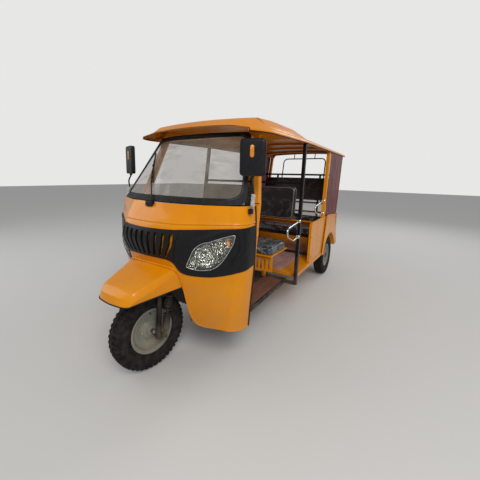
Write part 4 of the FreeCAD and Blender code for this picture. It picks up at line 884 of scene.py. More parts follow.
def through(rows, spot):
    """A smooth row between measured rows."""
    i = row_before(rows, spot)
    a, b = rows[i], rows[i + 1]
    span = b[0] - a[0]
    t = (spot - a[0]) / span
    before, after = rows[max(i - 1, 0)], rows[min(i + 2, len(rows) - 1)]
    out = []
    for k in range(1, len(a)):
        m0 = (b[k] - before[k]) / (b[0] - before[0]) * span
        m1 = (after[k] - a[k]) / (after[0] - a[0]) * span
        out.append((2 * t ** 3 - 3 * t ** 2 + 1) * a[k] + (t ** 3 - 2 * t ** 2 + t) * m0
                   + (3 * t ** 2 - 2 * t ** 3) * b[k] + (t ** 3 - t ** 2) * m1)
    return out


def round_through(a, b, c, count):
    """Points along the circle from a through b to c."""
    d = 2 * (a[0] * (b[1] - c[1]) + b[0] * (c[1] - a[1]) + c[0] * (a[1] - b[1]))
    sa, sb, sc = a[0] ** 2 + a[1] ** 2, b[0] ** 2 + b[1] ** 2, c[0] ** 2 + c[1] ** 2
    mx = (sa * (b[1] - c[1]) + sb * (c[1] - a[1]) + sc * (a[1] - b[1])) / d
    my = (sa * (c[0] - b[0]) + sb * (a[0] - c[0]) + sc * (b[0] - a[0])) / d
    radius = math.hypot(a[0] - mx, a[1] - my)
    first, last = math.atan2(a[1] - my, a[0] - mx), math.atan2(c[1] - my, c[0] - mx)
    last += 2 * math.pi if last < first else 0
    return [(mx + radius * math.cos(first + (last - first) * i / count),
             my + radius * math.sin(first + (last - first) * i / count)) for i in range(1, count + 1)]


def half_line(z):
    """The left half of the level line at z, as (x, y, length so far)."""
    key = round(z, 4)
    if key not in lines:
        nose, nx, ny, fx, fy, wx, wy = through(CAB, key)
        depth = ny - nose
        radius = (nx * nx + depth * depth) / (2 * depth)
        points = []
        for i in range(17):
            x = nx * i / 16
            points.append((x, nose + radius - math.sqrt(radius * radius - x * x)))
        for i in range(1, 9):
            points.append((nx + (fx - nx) * i / 8, ny + (fy - ny) * i / 8))
        rise = (fy - ny) / (fx - nx)
        corner = (wx, fy + rise * (wx - fx))
        middle = (fx * 0.25 + corner[0] * 0.5 + wx * 0.25, fy * 0.25 + corner[1] * 0.5 + wy * 0.25)
        points += round_through((fx, fy), middle, (wx, wy), 12)
        points += [(wx, wy + (CAB_REAR - wy) * i / 4) for i in range(1, 5)]
        length = 0.0
        out = [(points[0][0], points[0][1], 0.0)]
        for a, b in zip(points, points[1:]):
            length += math.hypot(b[0] - a[0], b[1] - a[1])
            out.append((b[0], b[1], length))
        lines[key] = out
    return lines[key]


def on_cab(w, z, out=0.0):
    """The point of the shell at w and z, moved out of it."""
    line = half_line(z)
    target = min(abs(w), 1.0) * line[-1][2]
    i = 1
    while i < len(line) - 1 and line[i][2] < target:
        i += 1
    a, b = line[i - 1], line[i]
    t = (target - a[2]) / (b[2] - a[2])
    ahead = Vector((b[0] - a[0], b[1] - a[1], 0)).normalized()
    other = line[min(i + 1, len(line) - 1)]
    if t > 0.5 and other[2] > b[2]:
        turn = Vector((other[0] - b[0], other[1] - b[1], 0)).normalized()
        ahead = ahead.lerp(turn, t - 0.5).normalized()
    normal = Vector((ahead.y, -ahead.x, 0))
    spot = Vector((a[0] + (b[0] - a[0]) * t, a[1] + (b[1] - a[1]) * t + AXLE_Y, z)) + normal * out
    return Vector((-spot.x, spot.y, spot.z)) if w < 0 else spot


def w_at(x, z):
    """The w of the shell's front at a place across and a height."""
    line = half_line(z)
    for a, b in zip(line, line[1:]):
        if a[0] <= abs(x) <= b[0] and b[0] > a[0]:
            length = a[2] + (b[2] - a[2]) * (abs(x) - a[0]) / (b[0] - a[0])
            return math.copysign(length / line[-1][2], x)
    return math.copysign(1.0, x)


def on_front(x, z, out=0.0):
    """The point of the shell at a place across and a height, moved out of it."""
    return on_cab(w_at(x, z), z, out)


print("half of the shell is", round(half_line(0.95)[-1][2], 3), "m round at the lamps")

# %% [markdown]
# The shell and the mask are cut while they are flat, like card, and bent afterwards. The flat piece is
# a grid whose X is w and whose Z is the height, made thick by Solidify. Cutters are circles whose
# corners are moved onto the outline, filled and extruded through the sheet. After the cut, every point
# is carried onto the shell, with its depth in the card as its distance out of the surface.

# %% Card, cutters and bending
def flat_card(name, columns, rows, thick):
    """A flat card on X and Z, with lines at the given places and its front at y = 0."""
    card = laid_grid(name, [[(x, 0, z) for x in columns] for z in rows])
    edit(card)
    close_up()
    if card.data.polygons[0].normal.y > 0:
        card.data.flip_normals()
    return modify(card, "SOLIDIFY", thickness=thick, offset=-1.0)


def cutter(name, outline, near=-0.2, far=0.2):
    """A straight-sided cutter through an outline of (x, z) points."""
    piece = primitive("circle", name, vertices=len(outline), radius=1, fill_type="NGON")
    for vert, (x, z) in zip(piece.data.vertices, outline):
        vert.co = (x, near, z)
    edit(piece)
    take_all()
    extrude((0, far - near, 0))
    close_up()
    return piece


def carve(piece, tools, keep=False):
    """Cuts a piece with cutters, or keeps only what is inside the one cutter."""
    tool = joined(tools, tools[0].name)
    only(piece)
    step = piece.modifiers.new("carve", "BOOLEAN")
    step.operation = "INTERSECT" if keep else "DIFFERENCE"
    step.solver = "EXACT"
    step.object = tool
    bpy.ops.object.modifier_apply(modifier=step.name)
    bpy.data.objects.remove(tool)
    return piece


def smooth_ring(points, per=5, closed=True):
    """More points along a soft curve through the given ones."""
    points = [Vector(p) for p in points]
    count = len(points)
    out = []
    for i in range(count if closed else count - 1):
        p0 = points[(i - 1) % count] if closed or i else points[0]
        p1, p2 = points[i], points[(i + 1) % count]
        p3 = points[(i + 2) % count] if closed or i + 2 < count else points[-1]
        for k in range(per):
            t = k / per
            out.append(0.5 * ((2 * p1) + (p2 - p0) * t + (2 * p0 - 5 * p1 + 4 * p2 - p3) * t * t
                              + (3 * p1 - p0 - 3 * p2 + p3) * t ** 3))
    if not closed:
        out.append(points[-1])
    return out


def on_card(points):
    """Carries (x, z) places of the front view to (w, z) places of the card."""
    return [(w_at(p[0], p[1]), p[1]) for p in points]


def bend_round(piece, shape=lambda w, z: 0.0, lift=0.0):
    """Bends a card round the shell, with extra depth from a shape of w and z."""
    for vert in piece.data.vertices:
        w, y, z = vert.co
        vert.co = on_cab(w, z, lift - y + shape(w, z))
    piece.data.update()
    return piece


def step_up(value, low, high):
    t = min(max((value - low) / (high - low), 0), 1)
    return t * t * (3 - 2 * t)


LAMP = [(0.301, 0.793), (0.318, 0.836), (0.338, 0.877), (0.366, 0.928), (0.408, 0.963), (0.454, 0.976),
        (0.509, 0.999), (0.583, 1.019), (0.585, 0.995), (0.577, 0.958), (0.552, 0.901), (0.517, 0.840),
        (0.474, 0.795), (0.421, 0.773), (0.356, 0.772)]
BELT = 1.080
print("card tools ready")

# %% [markdown]
# The yellow shell: a card over the whole height, a wheel opening with rounded feet, two lamp openings,
# and a sunk panel behind the grille so that the slots have something to look into. A pressed bead runs
# round at belt height. The rows of the card lie closer together there, so that the bead is crisp.

# %% Yellow shell of the cab
rows = spread(0.305, 0.780, 22) + spread(0.790, 1.060, 26)
rows += [1.068, 1.072, 1.076, 1.079, 1.082, 1.086, 1.091, 1.098] + spread(1.108, 1.206, 9)
shell = flat_card("cab_shell", spread(-1, 1, 150), rows, 0.003)
half_opening = [(0.0, 0.640), (0.120, 0.640), (0.226, 0.640), (0.246, 0.632), (0.2535, 0.610),
                (0.2545, 0.540), (0.2550, 0.470), (0.258, 0.415), (0.266, 0.372), (0.281, 0.340),
                (0.305, 0.319), (0.335, 0.309), (0.375, 0.3062), (0.42, 0.3052), (0.42, 0.20)]
opening = [(w_at(x, max(z, 0.305)), z) for x, z in half_opening]
opening += [(-w, z) for w, z in reversed(opening[1:])]
lamp_ring = [(p.x, p.y) for p in smooth_ring([(x, z, 0) for x, z in LAMP])]
tools = [cutter("opening_cutter", opening)]


def lamp_cutters():
    return [cutter("lamp_cutter", on_card([(x * sign, z) for x, z in lamp_ring])) for side, sign in SIDES]


carve(shell, tools + lamp_cutters())


def pressing(w, z):
    """The belt bead and the sunk panel behind the grille."""
    raised, sunk = math.exp(-((z - BELT - 0.007) / 0.006) ** 2), math.exp(-((z - BELT) / 0.0036) ** 2)
    inside = step_up(0.36 - abs(w), 0.0, 0.03) * step_up(z, 0.848, 0.862) * step_up(1.035 - z, 0, 0.015)
    return 0.0032 * raised - 0.0042 * sunk - 0.024 * inside


bend_round(shell, pressing)
settle(shell, "body", yellow_paint, 40)
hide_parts("front_cab")
print("cab shell:", len(shell.data.polygons), "faces")

# %% [markdown]
# Cut edges of pressed sheet are rolled, which the eye reads as a bright line. A thin rolled edge is a
# tube along the opening and the foot. The rear edges of the cab carry a black rubber strip.

# %% Rolled edges and rear rubber strips
for side, sign in SIDES:
    edge = smooth_ring([(x, z, 0) for x, z in half_opening[3:13]], 4, False)
    route = [on_front(p.x * sign, p.y, -0.001) for p in edge]
    foot = w_at(0.375, 0.305)
    route += [on_cab(sign * (foot + (0.997 - foot) * t), 0.3065, -0.001) for t in spread(0.06, 1, 16)]
    bead("cab_rolled_edge_" + side, route, 0.0042, yellow_paint)
    route = [on_cab(sign * 1.0, z, 0.0005) + Vector((0, 0.004, 0)) for z in spread(0.303, 1.20, 26)]
    bead("cab_rear_strip_" + side, route, 0.0068, rubber_seal)
print("rolled edges and strips on both sides")

# %% [markdown]
# The black mask is a separate moulding screwed over the shell. It wraps from one rear edge to the other,
# its lower edge dips under each lamp and rises over the beak. The grille slots are cut in the flat; their
# walls are the fins of the next step. Round each lamp the moulding is dished, and a seam parts the
# grille from the lamp panels.

# %% Black mask with its grille
mask_low = smooth_ring([(0.0, 0.842, 0), (0.110, 0.842, 0), (0.180, 0.839, 0), (0.210, 0.831, 0),
                        (0.226, 0.811, 0), (0.240, 0.777, 0), (0.256, 0.750, 0), (0.280, 0.735, 0),
                        (0.325, 0.724, 0), (0.411, 0.720, 0), (0.470, 0.726, 0), (0.536, 0.741, 0),
                        (0.600, 0.762, 0)], 4, False)
half = on_card([(p.x, p.y) for p in mask_low]) + [(0.985, 0.784), (1.0, 0.788), (1.0, 1.066),
                                                  (0.93, 1.066), (0.80, 1.0625)]
half += on_card([(0.500, 1.058), (0.417, 1.054), (0.300, 1.051), (0.150, 1.047), (0.0, 1.045)])
ring = half + [(-w, z) for w, z in reversed(half[1:-1])]
mask = flat_card("grille_mask", spread(-1, 1, 190), spread(0.714, 1.072, 46), 0.0045)
carve(mask, [cutter("mask_outline", ring)], keep=True)
tools = []
SLOT_TOP, SLOT_LOW = 0.060, 0.046  # from slot to slot
for i in range(-4, 5):
    top, low = i * SLOT_TOP, i * SLOT_LOW
    slot = [(top - 0.0125, 1.022), (top + 0.0125, 1.022), (top + 0.0125, 1.000), (top * 0.97 + 0.0115, 0.940),
            (low + 0.0095, 0.864), (low + 0.0075, 0.860), (low - 0.0075, 0.860), (low - 0.0095, 0.864),
            (top * 0.97 - 0.0115, 0.940), (top - 0.0125, 1.000)]
    tools.append(cutter("slot_cutter", on_card(slot)))
carve(mask, tools + lamp_cutters())
tools = []
for sign in (1, -1):
    seam = [(0.2865, 1.075), (0.2905, 1.075), (0.2215, 0.79), (0.2175, 0.79)]
    tools.append(cutter("seam_cutter", on_card([(x * sign, z) for x, z in seam]), -0.1, 0.0026))
carve(mask, tools)
dish = [Vector((x, z, 0)) for x, z in
        [(0.270, 0.800), (0.300, 0.880), (0.345, 0.960), (0.418, 0.992), (0.520, 1.036), (0.589, 1.053),
         (0.622, 1.050), (0.632, 1.015), (0.632, 0.954), (0.628, 0.893), (0.611, 0.850), (0.572, 0.800),
         (0.500, 0.758), (0.400, 0.747), (0.310, 0.760)]]
dish = [(w_at(p.x, p.y), p.y) for p in smooth_ring(dish, 4)]


HALF_SHELL = 0.84  # metres from the middle to the rear edge, round the shell


def inside_by(w, z):
    """How far a place lies inside the dish round the lamp, in metres; negative outside."""
    w, scale = abs(w), HALF_SHELL
    near, inside = 1.0, False
    for (w0, z0), (w1, z1) in zip(dish, dish[1:] + dish[:1]):
        if (z0 > z) != (z1 > z) and w < (w1 - w0) * (z - z0) / (z1 - z0) + w0:
            inside = not inside
        ax, az = (w1 - w0) * scale, z1 - z0
        t = max(0, min(1, ((w - w0) * scale * ax + (z - z0) * az) / (ax * ax + az * az)))
        near = min(near, math.hypot((w - w0) * scale - ax * t, z - z0 - az * t))
    return near if inside else -near


def moulding(w, z):
    if abs(w) < 0.28 or z < 0.70:
        return 0.0
    depth = inside_by(w, z)
    return 0.0035 * math.exp(-(depth / 0.014) ** 2) - 0.003 * step_up(depth, 0.0, 0.022)


bend_round(mask, moulding, lift=0.0052)
settle(mask, "body", mask_plastic, 32)
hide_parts("cab_mask")
print("mask:", len(mask.data.polygons), "faces")

# %% [markdown]
# Behind each slot stand the walls of its moulding. Seen from the side they hide most of the yellow
# behind. They are thin fins, one at each side of a slot, bent at the same height as the slot, that
# reach from the mask into the sunk panel.

# %% Fins behind the slots
fins = []
for i in range(-4, 5):
    for side in (-1, 1):
        rows = []
        for k in spread(0, 1, 8):
            z, bent = 0.860 + 0.162 * k, min(k / 0.56, 1)
            middle, half = i * (SLOT_LOW + (SLOT_TOP - SLOT_LOW) * bent), 0.0098 + 0.003 * bent
            across = middle + side * half
            rows.append([on_front(across, z, 0.006 - deep * 0.019) for deep in (0, 1)])
        fin = laid_grid("grille_fin", rows)
        modify(fin, "SOLIDIFY", thickness=0.0022, offset=0.0)
        fins.append(fin)
fins = joined(fins, "grille_fins")
outward(fins)
settle(fins, "body", mask_plastic, 30)
print("18 fins in", len(fins.data.polygons), "faces")

# %% [markdown]
# A headlamp is four things behind each other: a bright bowl pressed into facets, a second small bowl at
# the outer corner with an amber bulb, the lamp bulb itself, and a clear lens that follows the shell. The
# back of the lamp is the outline pushed in and drawn together, with the same bright finish. In that
# finish the dark and bright cells and the warm tint are painted reflections in the base colour.

# %% Headlamps
def tilted(name, profile, place, axis, steps):
    """A turned piece put at a place with its axis along a direction."""
    piece = turned(name, profile, steps=steps)
    turn = Vector((1, 0, 0)).rotation_difference(Vector(axis)).to_matrix().to_4x4()
    piece.data.transform(Matrix.Translation(place) @ turn)
    return piece


# Painted reflections: each Voronoi cell is coloured dark, bright or warm in the base colour, standing in for
# what the facets would reflect.
f = Finish("faceted_reflector_painted_reflections", Metallic=1.0)
facet, cell = f.cells(105), f.cells(105, out="Color")
painted_glint_mask = f.ramp(f.part("X", cell), 0.25, 0.75)
painted_warm_tint_mask = f.ramp(f.part("Y", cell), 0.6, 0.9)
# sheet: the painted reflection colour of each facet, dark or bright
sheet = f.blend(painted_glint_mask, colour(52, 54, 52), colour(240, 242, 238))
reflector_with_painted_reflections = f.set(Base_Color=f.blend(painted_warm_tint_mask * 0.5, sheet, colour(176, 168, 116)),
                         Roughness=f.ramp(f.noise(30, 3), 0.3, 0.7, 0.05, 0.14), Normal=f.bump(facet, 0.006))


BOWL = [(0.0, 0.073), (-0.010, 0.069), (-0.022, 0.058), (-0.032, 0.042), (-0.038, 0.022), (-0.040, 0.0),
        (-0.043, 0.0), (-0.041, 0.024), (-0.034, 0.046), (-0.024, 0.062), (-0.011, 0.074), (0.0, 0.077),
        (0.0, 0.073)]
BULB = [(-0.040, 0.010), (-0.022, 0.010), (-0.020, 0.0075), (-0.004, 0.0075), (0.001, 0.005), (0.003, 0.0)]
TURN_BULB = [(-0.012, 0.0), (-0.012, 0.014), (0.004, 0.0145), (0.009, 0.011), (0.012, 0.0)]
TURN_CUP = [(0.006, 0.030), (-0.008, 0.024), (-0.014, 0.013), (-0.016, 0.0), (-0.018, 0.0), (-0.010, 0.026),
            (0.005, 0.032), (0.006, 0.030)]


def shrunk(scale):
    """The lamp's outline drawn together about its middle."""
    return [((x - 0.45) * scale + 0.45, (z - 0.89) * scale + 0.89) for x, z in lamp_ring]


def headlamp(side, sign):
    ring = [on_front(x * sign, z, -0.001) for x, z in lamp_ring]
    middle = sum(ring, Vector()) / len(ring)
    out = (on_front(0.44 * sign, 0.88, 1.0) - on_front(0.44 * sign, 0.88)).normalized()
    bowl = primitive("circle", "lamp_back_" + side, vertices=len(ring), radius=1, fill_type="NOTHING")
    for vert, spot in zip(bowl.data.vertices, ring):
        vert.co = spot
    edit(bowl, "EDGE")
    take_all()
    for push, shrink in ((0.012, 0.985), (0.022, 0.93), (0.020, 0.82), (0.008, 0.55)):
        extrude(-out * push)
        bpy.ops.transform.resize(value=(shrink, shrink, shrink), center_override=middle - out * 0.03)
    bpy.ops.mesh.edge_face_add()
    close_up(inside=True)
    bowl = modify(bowl, "SOLIDIFY", thickness=0.0015, offset=1.0)
    settle(bowl, "body", reflector_with_painted_reflections, 20)
    main, corner = on_front(0.425 * sign, 0.868, -0.012), on_front(0.548 * sign, 0.962, -0.016)
    for name, profile, spot, steps, finish, smooth in (
            ("lamp_bowl_", BOWL, main, 26, reflector_with_painted_reflections, 5), ("lamp_bulb_", BULB, main, 16, chrome, 30),
            ("turn_bulb_", TURN_BULB, corner, 18, amber_lens, 40),
            ("turn_cup_", TURN_CUP, corner, 20, reflector_with_painted_reflections, 10)):
        settle(tilted(name + side, profile, spot, out, steps), "body", finish, smooth)
    card = flat_card("headlamp_lens_" + side, [w_at(x * sign, 0.9) for x in spread(0.29, 0.60, 26)],
                     spread(0.765, 1.025, 20), 0.0035)
    carve(card, [cutter("lens_outline", on_card([(x * sign, z) for x, z in shrunk(0.985)]))], keep=True)
    bend_round(card, lift=0.0058)
    settle(card, "body", lens_clear, 40)
    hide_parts("headlamp_" + side)
    route = [on_front(x * sign, z, 0.0052) for x, z in shrunk(0.992)[::2]]
    bead("lamp_rim_" + side, route, 0.0024, chrome, cyclic=True, ring=2)


for side, sign in SIDES:
    headlamp(side, sign)
print("headlamps on both sides")

# %% [markdown]
# The beak over the front wheel is a pressed hood with two soft creases along each side. Its shape was
# measured as three lines that run from the cab round the nose: the lower edge, the lower crease and the
# upper crease, and the height of its top. A grid is laid over them, with the corners rounded and the top
# crowned. Half of it is made, mirrored, and given its sheet thickness.

# %% Beak over the wheel
BEAK = [(0, 0.252, 0.107, 0.632, 0.236, 0.070, 0.745, 0.219, 0.057, 0.777, 0.802),
        (1, 0.247, 0.082, 0.630, 0.232, 0.045, 0.737, 0.213, 0.032, 0.769, 0.791),
        (2, 0.222, -0.010, 0.624, 0.217, -0.032, 0.708, 0.197, -0.038, 0.746, 0.763),
        (3, 0.198, -0.098, 0.617, 0.203, -0.108, 0.680, 0.181, -0.105, 0.724, 0.734),
        (4, 0.174, -0.185, 0.611, 0.187, -0.180, 0.655, 0.163, -0.175, 0.702, 0.705),
        (5, 0.157, -0.245, 0.605, 0.170, -0.235, 0.636, 0.147, -0.238, 0.678, 0.684),
        (6, 0.148, -0.272, 0.603, 0.153, -0.264, 0.625, 0.125, -0.271, 0.651, 0.664),
        (7, 0.120, -0.289, 0.602, 0.118, -0.283, 0.624, 0.092, -0.281, 0.650, 0.657),
        (8, 0.070, -0.297, 0.601, 0.068, -0.292, 0.624, 0.050, -0.286, 0.650, 0.653),
        (9, 0.0, -0.301, 0.600, 0.0, -0.297, 0.624, 0.0, -0.288, 0.650, 0.650)]


def beak_lines(v):
    """Lower edge, lower crease, upper crease and middle of the top at a place round the beak."""
    row = through(BEAK, v)
    points = [Vector((row[i], row[i + 1] + AXLE_Y, row[i + 2])) for i in (0, 3, 6)]
    return points + [Vector((0, points[2].y, row[9]))]


def crowned(last, top, count):
    """Points from a shoulder to the middle of a crowned top."""
    return [Vector((last.x * (1 - t), last.y + (top.y - last.y) * t,
                    last.z + (top.z - last.z) * (1 - (1 - t) ** 2))) for t in spread(0, 1, count)[1:]]


def sheet_through(name, sections, thickness, mirror=False):
    """A sheet laid through sections, with its top up, that is made thick downwards."""
    sheet = laid_grid(name, sections)
    if mirror:
        modify(sheet, "MIRROR", use_mirror_merge=True, merge_threshold=0.0004)
    outward(sheet)
    if sum(face.normal.z * face.area for face in sheet.data.polygons) < 0:
        sheet.data.flip_normals()
    return modify(sheet, "SOLIDIFY", thickness=thickness, offset=-1.0)


def beak_section(v):
    edge, low, high, top = beak_lines(v)
    inner = high.lerp(top, 0.25) if v < 8.99 else high + Vector((0, 0.002, 0))
    out = bend_points([edge, low, high, inner], 0.011, 3)[:-1]
    return out + crowned(out[-1], top, 7)


stations = spread(0, 5, 26) + spread(5.14, 9, 30)
beak = sheet_through("front_beak", [beak_section(v) for v in stations], 0.003, mirror=True)
settle(beak, "body", yellow_paint, 50)
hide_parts("front_mudguard")
edge_route = [beak_lines(v)[0] for v in spread(0.6, 9, 44)]
edge_route += [Vector((-p.x, p.y, p.z)) for p in reversed(edge_route[:-1])]
bead("beak_edging", [p + Vector((0, 0, -0.001)) for p in edge_route], 0.0042, rubber_seal)
lip = [(0.256, 0.625), (0.2545, 0.660), (0.253, 0.689), (0.248, 0.716), (0.236, 0.748), (0.213, 0.771),
       (0.160, 0.780), (0.100, 0.784), (0.0, 0.786)]
lip = smooth_ring([(x, z, 0) for x, z in lip] + [(-x, z, 0) for x, z in reversed(lip[:-1])], 4, False)
bead("beak_collar", [on_front(p.x, p.y, 0.0015) for p in lip], 0.0062, yellow_paint)
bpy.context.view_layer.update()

# %% [markdown]
# Beside the tyre stands a damper with a coil spring round its upper half. It is the one mechanical part
# that the photograph shows under the beak, so it gets its coils, its sleeve and its rubber eye. The coil
# is a tube along a helix. Everything is placed as if the wheel stood straight, and then turned with it.

# %% Coil springs and dampers
def shock(side, sign):
    low = Vector((0.119 * sign, -1.527, 0.242))
    high = Vector((0.119 * sign, -1.469, 0.531))
    way = (high - low).normalized()
    reach = (high - low).length
    body = [(-0.004, 0.0), (-0.004, 0.013), (reach * 0.16, 0.013), (reach * 0.17, 0.024),
            (reach * 0.19, 0.0252), (reach * 0.52, 0.0252), (reach * 0.54, 0.024), (reach * 0.55, 0.0100),
            (reach * 0.62, 0.0100),
            (reach * 0.63, 0.030), (reach * 0.645, 0.0325), (reach * 0.66, 0.0325), (reach * 0.665, 0.018),
            (reach * 0.96, 0.018), (reach * 0.965, 0.033), (reach * 0.995, 0.033), (reach * 0.997, 0.0)]
    damper = tilted("damper_" + side, body, low, way, 28)
    eye = turned("damper_eye", [(-0.0178, 0.006), (-0.0178, 0.0150), (-0.012, 0.0162), (0.012, 0.0162),
                                (0.0178, 0.0150), (0.0178, 0.006), (-0.0178, 0.006)], low, steps=24)
    damper = joined([damper, eye], "damper_" + side)
    damper.data.transform(steered)
    settle(damper, "steering", dark_steel, 35)
    aside = Vector((1, 0, 0))
    other = way.cross(aside).normalized()
    turns, wire = 6.5, 0.0055
    first, last = reach * 0.665 + wire, reach * 0.955 - wire * 0.2
    helix = []
    for t in spread(0, 1, int(turns * 12)):
        angle = 2 * math.pi * turns * t
        helix.append(low + way * (first + (last - first) * t)
                     + (aside * math.cos(angle) + other * math.sin(angle)) * 0.0268)
    coil = pipe("coil_spring_" + side, helix, wire, ring=2)
    coil.data.transform(steered)
    settle(coil, "steering", black_paint, 50)
    return damper, coil


for side, sign in SIDES:
    made = shock(side, sign)
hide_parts("fork_springs")
print("springs with", len(made[1].data.polygons), "faces each")

# %% [markdown]
# Beside each lamp the mask carries a pressed crescent. Its ridge is what the light catches, so it is
# laid on the mask as a slim half-sunk bead that follows the shell, thickest in its middle.

# %% Crescents beside the lamps
for side, sign in SIDES:
    line = [(0.588, 1.046), (0.604, 1.020), (0.612, 0.985), (0.614, 0.945), (0.606, 0.900), (0.588, 0.862),
            (0.560, 0.828)]
    route = [on_front(x * sign, z, 0.0058) for x, z in line]
    bead("mask_crescent_" + side, route, 0.0050, housing_plastic, ring=3)
    print("crescent from", [round(v, 3) for v in route[0]], "to", [round(v, 3) for v in route[-1]])

# %% [markdown]
# The windscreen is a sheet of glass bent over two arcs, and it leans well back. A wide rubber section
# holds it: it is broad along the bottom, has round corners, and a thin pale filler strip is pushed into
# its groove. It is cut as a flat card again, this time in the front view, and laid on the glass.

# %% Rubber round the windscreen
SCREEN = [(1.208, 0.112, 0.330, 0.146, 0.618, 0.300), (1.722, 0.508, 0.260, 0.522, 0.474, 0.588)]


def on_screen(x, z, out=0.0):
    """The point of the glass at a place across and a height, moved out of it."""
    def skin(x, z):
        t = (z - SCREEN[0][0]) / (SCREEN[1][0] - SCREEN[0][0])
        mid, qx, qy, ex, ey = [a + (b - a) * t for a, b in zip(SCREEN[0][1:], SCREEN[1][1:])]
        depth_q, depth_e = qy - mid, ey - mid
        d = 2 * (qx * depth_e - ex * depth_q)
        mx = (depth_e * (qx * qx + depth_q ** 2) - depth_q * (ex * ex + depth_e ** 2)) / d
        my = (qx * (ex * ex + depth_e ** 2) - ex * (qx * qx + depth_q ** 2)) / d
        radius = math.hypot(mx, my)
        return AXLE_Y + mid + my - math.sqrt(max(radius ** 2 - (min(abs(x), ex * 1.03) - mx) ** 2, 0))
    e = 0.002
    slope_x = (skin(x + e, z) - skin(x - e, z)) / (2 * e)
    slope_z = (skin(x, z + e) - skin(x, z - e)) / (2 * e)
    normal = Vector((slope_x, -1, slope_z)).normalized()
    return Vector((x, skin(x, z), z)) + normal * out


def ring_round(low, high, wide_low, wide_high, corner_low, corner_high):
    """A four-sided outline of the screen with round corners, as (x, z) points."""
    corners = [Vector((wide_low, low, 0)), Vector((wide_high, high, 0)), Vector((-wide_high, high, 0)),
               Vector((-wide_low, low, 0))]
    out = []
    for i, corner in enumerate(corners):
        before, after = corners[i - 1], corners[(i + 1) % 4]
        size = corner_low if i in (0, 3) else corner_high
        route = bend_points([corner.lerp(before, 0.5), corner, corner.lerp(after, 0.5)], size, 8)
        out += [(p.x, p.y) for p in route[1:-1]]
    return out


outer = ring_round(1.2085, 1.7295, 0.622, 0.478, 0.050, 0.045)
inner = ring_round(1.248, 1.700, 0.578, 0.450, 0.060, 0.050)
seal = flat_card("screen_rubber", spread(-0.63, 0.63, 60), spread(1.200, 1.735, 34), 0.012)
carve(seal, [cutter("seal_outline", outer)], keep=True)
carve(seal, [cutter("screen_opening", inner)])
for vert in seal.data.vertices:
    x, y, z = vert.co
    vert.co = on_screen(x, z, 0.0075 - y)
seal = modify(seal, "BEVEL", width=0.0035, segments=2, limit_method="ANGLE", angle_limit=math.radians(50))
settle(seal, "body", rubber_seal, 40)
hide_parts("windscreen_seal")
route = [on_screen(x, z, 0.0078) for x, z in ring_round(1.240, 1.705, 0.586, 0.4555, 0.062, 0.052)]
bead("screen_filler_strip", route, 0.0022, trim_grey, cyclic=True, ring=2)
print("screen rubber:", len(seal.data.polygons), "faces")

# %% [markdown]
# The wiper is a bent arm and a slim blade. The solid has both, so it stays, and gets its pivot: a black
# cover box on the cowl with a nut, and small clips where the arm holds the blade.

# %% Wiper pivot
cover = block("wiper_cover", (-0.088, -1.520, 1.176), (-0.020, -1.488, 1.212), 0.005, 2)
nut = turned("wiper_nut", [(-0.016, 0.0), (-0.016, 0.011), (-0.012, 0.013), (0.0, 0.013), (0.0, 0.0)],
             (-0.054, -1.506, 1.190), "Y", 12)
pivot_cover = joined([cover, nut], "wiper_pivot")
settle(pivot_cover, "body", trim_plastic, 40)
for x, z in ((-0.204, 1.372), (-0.288, 1.466)):
    spot = on_screen(x, z, 0.017)
    clip = block("wiper_clip_%d" % round(z * 1000), spot - Vector((0.010, 0.006, 0.009)),
                 spot + Vector((0.010, 0.006, 0.009)), 0.003, 2)
    settle(clip, "body", trim_plastic, 40)

# %% [markdown]
# Each mirror is a grained plastic housing on a bent steel stay. Seen from the front the housing shows
# its back: a rounded, slightly crowned shell with a moulded ridge round its edge and an upright
# amber marker. The glass looks to the rear, set into the housing. The stay's lower part is wrapped in tape,
# and a small bolted clamp holds it to the cab.

# %% Mirrors
MIRROR_AT = (0.632, -1.229, 1.526)


def plate(name, sizes, corner, centre):
    """An upright plate with round corners, left open with its face to the front picked."""
    piece = cuboid(name, sizes, centre)
    round_edges(piece, 1, corner)
    pick(piece, lambda c, n: n.y < -0.9)
    return piece


